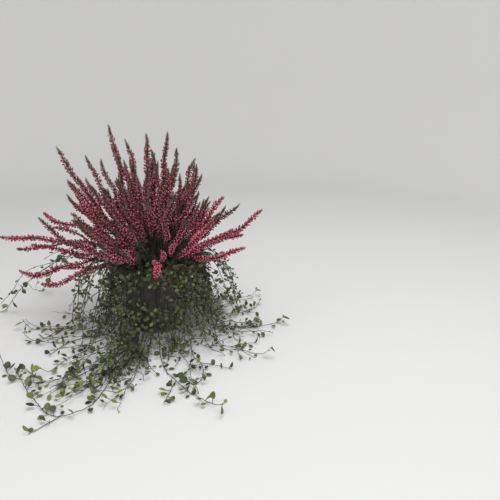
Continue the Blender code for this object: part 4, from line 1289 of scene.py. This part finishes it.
def zigzag(path, step, dice):
    """A stem that turns a little at each of its joints, one way and then the other."""
    total = lengths_along(path)[-1]
    joints = spaced(path, np.append(np.arange(0, total, step), total))
    sides, ups = across(directions_along(joints))
    swing = 0.00032 * (-1.0) ** np.arange(len(joints)) * np.minimum(1, np.arange(len(joints)) / 2)
    return joints + (swing[:, None] * sides + dice.normal(0, 0.00025, len(joints))[:, None] * ups)


# The bare patch of the wall, close under the rim, that few leaves cover: the azimuth of its middle and how
# far it reaches to each side in degrees, the radii and the heights that it lies between, and the share of
# its leaves that are left out
BARE_PATCH = 284
PATCH_REACH = 16
PATCH_RADII = (0.058, 0.095)
PATCH_HEIGHTS = (0.069, 0.096)
PATCH_LEFT_OUT = 0.92


def leaf_spots(path, first, step, dice):
    """Where the small leaves stand along a stem, those points in space, and how far out on the floor each is,
    from 0 to 1. Fewer stand far out, and few on the bare patch."""
    total = lengths_along(path)[-1]
    places = np.arange(first, total, step)
    places = (places + dice.uniform(-0.3, 0.3, len(places)) * step)[dice.random(len(places)) > 0.12]
    places = places[places < total]
    bases = spaced(path, places)
    radius = np.linalg.norm(bases[:, :2], axis=1)
    far = np.clip((radius - 0.13) / 0.09, 0, 1) * np.clip(1.6 - bases[:, 2] / 0.03, 0, 1)
    in_patch = np.abs(np.degrees(np.arctan2(bases[:, 1], bases[:, 0])) % 360 - BARE_PATCH) < PATCH_REACH
    for values, (lowest, highest) in ((radius, PATCH_RADII), (bases[:, 2], PATCH_HEIGHTS)):
        in_patch &= (values > lowest) & (values < highest)
    stays = dice.random(len(places)) > 0.30 * far
    stays &= ~(in_patch & (dice.random(len(places)) < PATCH_LEFT_OUT))
    return places[stays], bases[stays], far[stays]


def leaf_ways(path, places, bases, dice):
    """The way that each small leaf points, to the left or the right of its stem, and the way that it turns
    its face to: up and outward."""
    way = unit_rows(read_at(directions_along(path), lengths_along(path), places))
    outward = bases * [1, 1, 0] / np.maximum(0.02, np.linalg.norm(bases[:, :2], axis=1))[:, None]
    upright = np.abs(way[:, 2])[:, None]
    lit = UP * (1.25 - upright) + outward * (0.25 + 0.8 * upright) + dice.normal(0, 0.85, bases.shape)
    sideways = unit_rows(np.cross(lit, way))
    hand = np.where(dice.random(len(places)) < 0.5, -1.0, 1.0)[:, None]
    forward = dice.uniform(0.1, 0.8, len(places))[:, None]
    aims = hand * sideways + forward * way + dice.normal(0, 0.22, bases.shape) + 0.35 * upright * outward
    return unit_rows(aims), lit


def leaf_ages(places, total, bases, far, young_at, dice):
    """How young each small leaf is, from 0 to 1: youngest at its stem's end and far out on the floor, and a
    little younger, so paler, close to the pot's foot as painted light.
    """
    count = len(places)
    newest = min(0.04, 0.22 * total)
    young = young_at + (0.3 + 0.7 * far) * np.clip((places - total + newest) / newest, 0, 1)
    young = np.where(dice.random(count) < 0.03 + 0.17 * far, dice.uniform(0.6, 1.0, count), young)
    # Painted light: leaves close to the pot and low down are made younger and so paler, lightening the shade
    # round the pot's foot
    near = np.clip((0.15 - np.linalg.norm(bases[:, :2], axis=1)) / 0.04, 0, 1)
    near = near * np.clip(1.4 - bases[:, 2] / 0.05, 0.15, 1)
    return np.clip(np.where(young < 0.3, young + dice.uniform(0.0, 0.38, count) + 0.18 * near, young), 0, 1)


def small_leaves(path, first, step, size, young_at, dice):
    """Small leaves all along a stem. They face up and outward, and lie flat on the surface."""
    places, bases, far = leaf_spots(path, first, step, dice)
    if not len(places):
        return []
    total = lengths_along(path)[-1]
    aims, lit = leaf_ways(path, places, bases, dice)
    young = leaf_ages(places, total, bases, far, young_at, dice)
    lengths = 1.12 * size * (1 + 0.40 * far) * dice.uniform(0.72, 1.15, len(places))
    lengths *= np.clip((total - places + 0.006) / 0.02, 0.5, 1.0)
    aims[:, 2] = np.maximum(aims[:, 2], (0.0012 - bases[:, 2]) / lengths)
    faces = lit - aims * (lit * aims).sum(axis=1)[:, None]
    low = bases[:, 2] < 0.008
    faces[low] = UP + 0.25 * faces[low]
    faces = unit_rows(faces - aims * (faces * aims).sum(axis=1)[:, None])
    tips = bases + lengths[:, None] * aims
    middles = bases + 0.6 * lengths[:, None] * aims
    kept = np.array([not in_pot([t, m], [0.0008, 0.25 * w]) for t, m, w in zip(tips, middles, lengths)])
    if not kept.any():
        return []
    widths = lengths * dice.uniform(0.38, 0.56, len(places))
    rows = (values[kept] for values in (bases, aims, faces, lengths, widths, young))
    return blades(plain_blade, *rows, dice)


def beside(path, turn, share, lift, dice):
    """A shorter stem of the same plant, turned about the pot's middle, that waves more than its neighbour."""
    end = share * lengths_along(path)[-1]
    kept = spaced(path, np.linspace(0.012, end, max(12, round(end / 0.012))))
    run = lengths_along(kept)
    angle = turn * np.clip(run / 0.06, 0.15, 1)
    radius = np.linalg.norm(kept[:, :2], axis=1)
    spread = np.clip((radius - 0.06) / 0.02, 0, 1)
    x = kept[:, 0] * np.cos(angle) - kept[:, 1] * np.sin(angle)
    y = kept[:, 0] * np.sin(angle) + kept[:, 1] * np.cos(angle)
    sway = dice.uniform(0, 6, 3)
    z = kept[:, 2] + spread * lift * (1 + np.sin(run / 0.017 + sway[0])) * np.clip(run / 0.1, 0, 1)
    side = spread * (0.009 * np.sin(run / 0.027 + sway[1]) + 0.0015 * np.sin(run / 0.009 + sway[2]))
    radius = np.maximum(0.03, radius)
    out = 1 + spread * (0.012 + 0.004 * np.sin(run / 0.02 + sway[2])) / radius
    moved = np.stack([x * out - y / radius * side, y * out + x / radius * side, z], axis=1)
    moved[:, 2] = np.maximum(moved[:, 2], 0.0009)
    return smooth(moved, 0.004)


# The small leaves on each kind of stem: how far apart they stand, how long they are, how young, and how far
# from the stem's foot the first one stands
SMALL_LEAVES = {
    "runner": (0.0095, 0.0095, 0.04, 0.012),
    "reaching runner": (0.020, 0.0095, 0.04, 0.012),
    "companion": (0.0105, 0.0095, 0.04, 0.018),
    "reaching companion": (0.022, 0.0095, 0.04, 0.018),
    "little shoot": (0.0066, 0.0088, 0.08, 0.005),
    "curtain": (0.0060, 0.0093, 0.02, 0.014),
    "skirt": (0.0068, 0.0092, 0.05, 0.002),
    "floor": (0.0090, 0.0088, 0.05, 0.060),
    "mound": (0.0054, 0.0087, 0.02, 0.008),
}
JOINT_STEP = 0.0075
WIRE_SIDES = 4


def strand(path, radius, kind, dice):
    """A vine stem of one of those kinds, bent at its joints, with its small leaves."""
    step, size, young, first = SMALL_LEAVES[kind]
    bent = zigzag(path, JOINT_STEP, dice)
    fine = smooth(bent, 0.0035) if len(bent) > 3 else bent
    fine[:, 2] = np.maximum(fine[:, 2], radius)
    stem = tube(fine, radius * np.linspace(1.0, 0.5, len(fine)), WIRE_SIDES)
    age = np.repeat(np.clip((np.arange(len(fine)) / len(fine) - 0.8) * 4, 0, 1), WIRE_SIDES)
    growth = np.stack([0 * age, 0 * age + dice.random(), age], axis=1)
    growth = np.vstack([growth, growth[:1], growth[-1:]])
    return [(*stem, vine_stem, growth)] + small_leaves(fine, first, step, size, young, dice)


def little_shoots(path, dice):
    """Short side shoots with a few leaves each, left and right along a stem, past the part near its root."""
    parts = []
    lowest = 0.0015
    ahead = directions_along(path)
    run = lengths_along(path)
    place = 0.07 + 0.03 * dice.random()
    while place < run[-1] - 0.01:
        k = int(np.searchsorted(run, place))
        aside = unit(np.cross(ahead[k], UP) + 1e-6) * dice.choice([-1.0, 1.0])
        length = dice.uniform(0.014, 0.034)
        out = unit(0.75 * ahead[k] + aside + dice.uniform(-0.1, 0.35) * UP)
        end = path[k] + length * unit(out + 0.5 * ahead[k])
        shoot = np.array([path[k], path[k] + 0.5 * length * out, end])
        shoot[:, 2] = np.maximum(shoot[:, 2], lowest)
        if not in_pot(shoot, [0.001] * 3):
            parts += strand(smooth(shoot, 0.003), 0.8 * WIRE, "little shoot", dice)
        place += dice.uniform(0.022, 0.055)
    return parts


def on_ring(angle, knots):
    """A smooth path through knots, each given by its radius, its height and a small turn from an angle."""
    points = [(r * math.cos(angle + turn), r * math.sin(angle + turn), z) for r, z, turn in knots]
    return smooth(points, 0.003)


def curtain_path(angle, dice):
    """A short stem that climbs over the rim and hangs down close to the pot's wall."""
    out, top = dice.uniform(0.004, 0.022), dice.uniform(0.108, 0.120)
    end, drift = dice.uniform(0.006, 0.075), dice.uniform(-0.35, 0.35)
    lean = dice.uniform(-0.004, 0.012)
    half = (top + end) / 2
    return on_ring(angle, [
        (0.049, SOIL_TOP - 0.004, 0), (0.052, 0.104, 0), (0.060, top, 0.1 * drift),
        (0.063 + 0.7 * out, top - 0.006, 0.25 * drift), (0.064 + out, half + 0.012, 0.6 * drift),
        (0.063 + out + lean, end, drift),
    ])


def mound_path(angle, dice):
    """A short shoot that stands up from the compost and leans out over the rim."""
    root, reach, top = dice.uniform(0.036, 0.050), dice.uniform(0.058, 0.080), dice.uniform(0.102, 0.122)
    drift = dice.uniform(-0.3, 0.3)
    return on_ring(angle, [
        (root, SOIL_TOP - 0.004, 0), (root + 0.003, 0.100, 0),
        ((root + reach) / 2, top, 0.5 * drift), (reach, top - 0.008, drift),
    ])


def skirt_path(angle, reach, turn, dice):
    """A stem that drops to the surface at the pot's foot and turns along it."""
    out, height = dice.uniform(0.066, 0.084), dice.uniform(0.036, 0.078)
    return on_ring(angle, [
        (out - 0.006, height, 0), (out, 0.55 * height, 0.15 * turn),
        (out + 0.3 * reach, dice.uniform(0.004, 0.012), 0.45 * turn),
        (out + 0.7 * reach, dice.uniform(0.002, 0.010), 0.8 * turn),
        (out + reach, dice.uniform(0.002, 0.012), 1.1 * turn),
    ])


def near_runner(row, dice):
    """An angle about the pot's middle, drawn close to a runner's own."""
    return math.radians(row[0]) + math.radians(360 / len(RUNNERS)) * dice.uniform(-0.6, 0.6)


# How many stems run out over the surface near each runner, between the long ones
FLOOR = [1, 1, 1, 1, 1, 0, 1, 1, 1, 2, 2, 14, 3, 1, 1, 2]
# The runners beside which those stems run far out, and how far they run there and elsewhere
FAR_OUT = (10, 11)
FAR_REACH = (0.10, 0.18)
NEAR_REACH = (0.07, 0.11)
# How many short stems hang near each runner: few at the left, most at the right
CURTAINS = [11, 8, 7, 7, 7, 6, 5, 2, 4, 5, 6, 7, 10, 10, 13, 13]
# How many short shoots stand over the rim near each runner
MOUND = 8
# How many short stems drop from the wall to the surface near each runner
SKIRTS = [3, 2, 2, 2, 2, 2, 2, 2, 2, 3, 3, 2, 4, 4, 4, 3]
# Stems beside each runner: how many degrees round from it, the share of its length, and how high they wave
BESIDE = [(7, 0.72, 0.0040), (-5, 0.88, 0.0022), (11, 0.52, 0.0070), (-10, 0.62, 0.0050), (3, 0.80, 0.0030)]
# How many of those stems each other runner has
COMPANIONS = [5, 5, 5, 5, 5, 0, 0, 3, 3, 4, 5, 4, 2, 3, 5, 5]
# The same for the stems beside a runner that reaches far out
BESIDE_REACHING = [(3, 0.93, 0.0030), (-4, 0.60, 0.0040)]
for number, (path, row) in enumerate(zip(runners, RUNNERS)):
    owner = f"runner {number}"
    dice = np.random.default_rng(500 + number)
    shoots = side_shoots(path, owner, row[1], crowd, draw)
    leaves = leaves_on(path, owner, crowd, draw, leaf_places(path, shoots), 1.0)
    stems = [(path, RUNNER_RADIUS * 0.9)]
    for _, shoot, places in shoots:
        leaves += leaves_on(shoot, owner, crowd, draw, places, 0.9)
        stems.append((even(shoot, 0.004), WIRE))
    parts = []
    reaching = row[1] == "reaching"
    for stem, radius in stems:
        parts += strand(stem, radius, "reaching runner" if reaching else "runner", dice)
    keys = ("base", "aim", "normal", "length", "width")
    bases, aims, faces, lengths, widths = (np.array([getattr(leaf, key) for leaf in leaves]) for key in keys)
    low = np.clip(1 - bases[:, 2] / 0.03, 0, 1)
    out = np.clip((np.linalg.norm(bases[:, :2], axis=1) - 0.12) / 0.08, 0, 1)
    fresh = dice.random(len(leaves)) < 0.05 + 0.35 * low * out
    young = np.where(fresh, dice.uniform(0.6, 1.0, len(leaves)), dice.uniform(0.0, 0.45, len(leaves)))
    scale = 0.80 + 0.16 * out
    parts += blades(fine_blade, bases, aims, faces, lengths * scale, widths * scale, young, dice)
    companions = BESIDE_REACHING if reaching else BESIDE[:COMPANIONS[number]]
    shorter = 0.74 if row[2] > 180 else 1.0
    for turn, share, lift in companions:
        turn = math.radians(turn) * dice.uniform(0.7, 1.3)
        share = min(0.96, shorter * share * dice.uniform(0.8, 1.1))
        near = beside(path, turn, share, lift, dice)
        parts += strand(near, WIRE, "reaching companion" if reaching else "companion", dice)
        if not reaching:
            parts += little_shoots(near, dice)
    for k in range(CURTAINS[number]):
        angle = near_runner(row, dice)
        hanging = strand(curtain_path(angle, dice), WIRE, "curtain", dice)
        if k % 3 or abs(math.degrees(angle) - BARE_PATCH) > 15:
            parts += hanging
    for _ in range(SKIRTS[number]):
        angle = near_runner(row, dice)
        low = skirt_path(angle, dice.uniform(0.015, 0.055), dice.uniform(-0.7, 0.7), dice)
        parts += strand(low, WIRE, "skirt", dice)
    for _ in range(FLOOR[number]):
        angle = near_runner(row, dice)
        reach = dice.uniform(*FAR_REACH if number in FAR_OUT else NEAR_REACH)
        low = skirt_path(angle, reach, dice.uniform(-0.30, 0.05), dice)
        parts += strand(low, WIRE, "floor", dice)
        parts += little_shoots(low, dice)
    for _ in range(MOUND):
        parts += strand(mound_path(near_runner(row, dice), dice), WIRE, "mound", dice)
    runner = piece(f"wire_vine_{number + 1:02d}", parts)
    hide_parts(f"vine_runner_{number + 1:02d}")

# The stage
# A pale seamless sweep, round like a shallow bowl, so that every side has the same plain wall behind it.
# Large soft lights hang over it and stand at its left, its right and its front.

FLOOR_RADIUS = 1.25
SWEEP_BEND = 0.40
SWEEP_HEIGHT = 1.5
SHEET = 0.02
FLOOR_GAP = 0.0004
SWEEP_SIDES = 120
PAPER_WHITE = (0.80, 0.795, 0.785, 1.0)
quarter = np.linspace(0, math.pi / 2, 16)
bend = [(SWEEP_BEND * math.sin(a), SWEEP_BEND * (1 - math.cos(a))) for a in quarter]
inner = [(FLOOR_RADIUS + out, rise - FLOOR_GAP) for out, rise in bend]
edge = FLOOR_RADIUS + SWEEP_BEND
sheet = [
    (0, -SHEET), (edge + SHEET, -SHEET), (edge + SHEET, SWEEP_HEIGHT), (edge, SWEEP_HEIGHT), *inner[::-1],
    (0.6, -FLOOR_GAP), (0, -FLOOR_GAP),
]
sheet_points, sheet_faces = turned(sheet, SWEEP_SIDES)
backdrop_mesh = bpy.data.meshes.new("backdrop")
backdrop_mesh.from_pydata(sheet_points.tolist(), [], sheet_faces.tolist())
backdrop_mesh.shade_smooth()
backdrop_mesh.set_sharp_from_angle(angle=math.radians(40))
backdrop = bpy.data.objects.new("backdrop", backdrop_mesh)
bpy.context.scene.collection.objects.link(backdrop)
paper = Finish("backdrop", 0.9, 0.2)
paper.shader.inputs["Base Color"].default_value = PAPER_WHITE
backdrop_mesh.materials.append(paper.material)


def soft_light(name, place, target, width, power, colour):
    """A round soft light that faces its target and isn't seen itself."""
    light = bpy.data.lights.new(name, "AREA")
    light.shape = "DISK"
    light.size = width
    light.energy = power
    light.color = colour
    made = bpy.data.objects.new(name, light)
    made.location = place
    made.visible_camera = False
    made.rotation_euler = (Vector(target) - Vector(place)).to_track_quat("-Z", "Y").to_euler()
    bpy.context.scene.collection.objects.link(made)


soft_light("overhead", (0.35, -0.40, 1.6), (0.1, -0.1, 0.0), 1.3, 14.4, (0.965, 0.985, 1.0))
soft_light("left", (-1.3, -0.8, 1.5), (0.0, 0.0, 0.15), 0.8, 2.0, (0.97, 0.985, 1.0))
soft_light("right", (1.3, -1.0, 1.5), (0.0, 0.0, 0.12), 0.8, 3.5, (1.0, 0.985, 0.96))
soft_light("front", (0.10, -1.3, 0.8), (0.0, 0.0, 0.12), 0.8, 3.6, (1.0, 0.99, 0.98))
world = bpy.data.worlds.new("studio")
world.use_nodes = True
world.node_tree.nodes["Background"].inputs["Color"].default_value = (1.0, 0.995, 0.985, 1.0)
world.node_tree.nodes["Background"].inputs["Strength"].default_value = 0.36
bpy.context.scene.world = world
bpy.context.scene.view_settings.view_transform = "Standard"

# The camera's place, how many degrees it looks down, and its lens
CAMERA_PLACE = (0.15405, -0.73239, 0.36942)
CAMERA_TILT = 18.3
CAMERA_LENS = 34.56
camera_data = bpy.data.cameras.new("camera")
camera_data.lens = CAMERA_LENS
camera = bpy.data.objects.new("camera", camera_data)
camera.location = CAMERA_PLACE
camera.rotation_euler = (math.radians(90 - CAMERA_TILT), 0, 0)
bpy.context.scene.collection.objects.link(camera)
bpy.context.scene.camera = camera
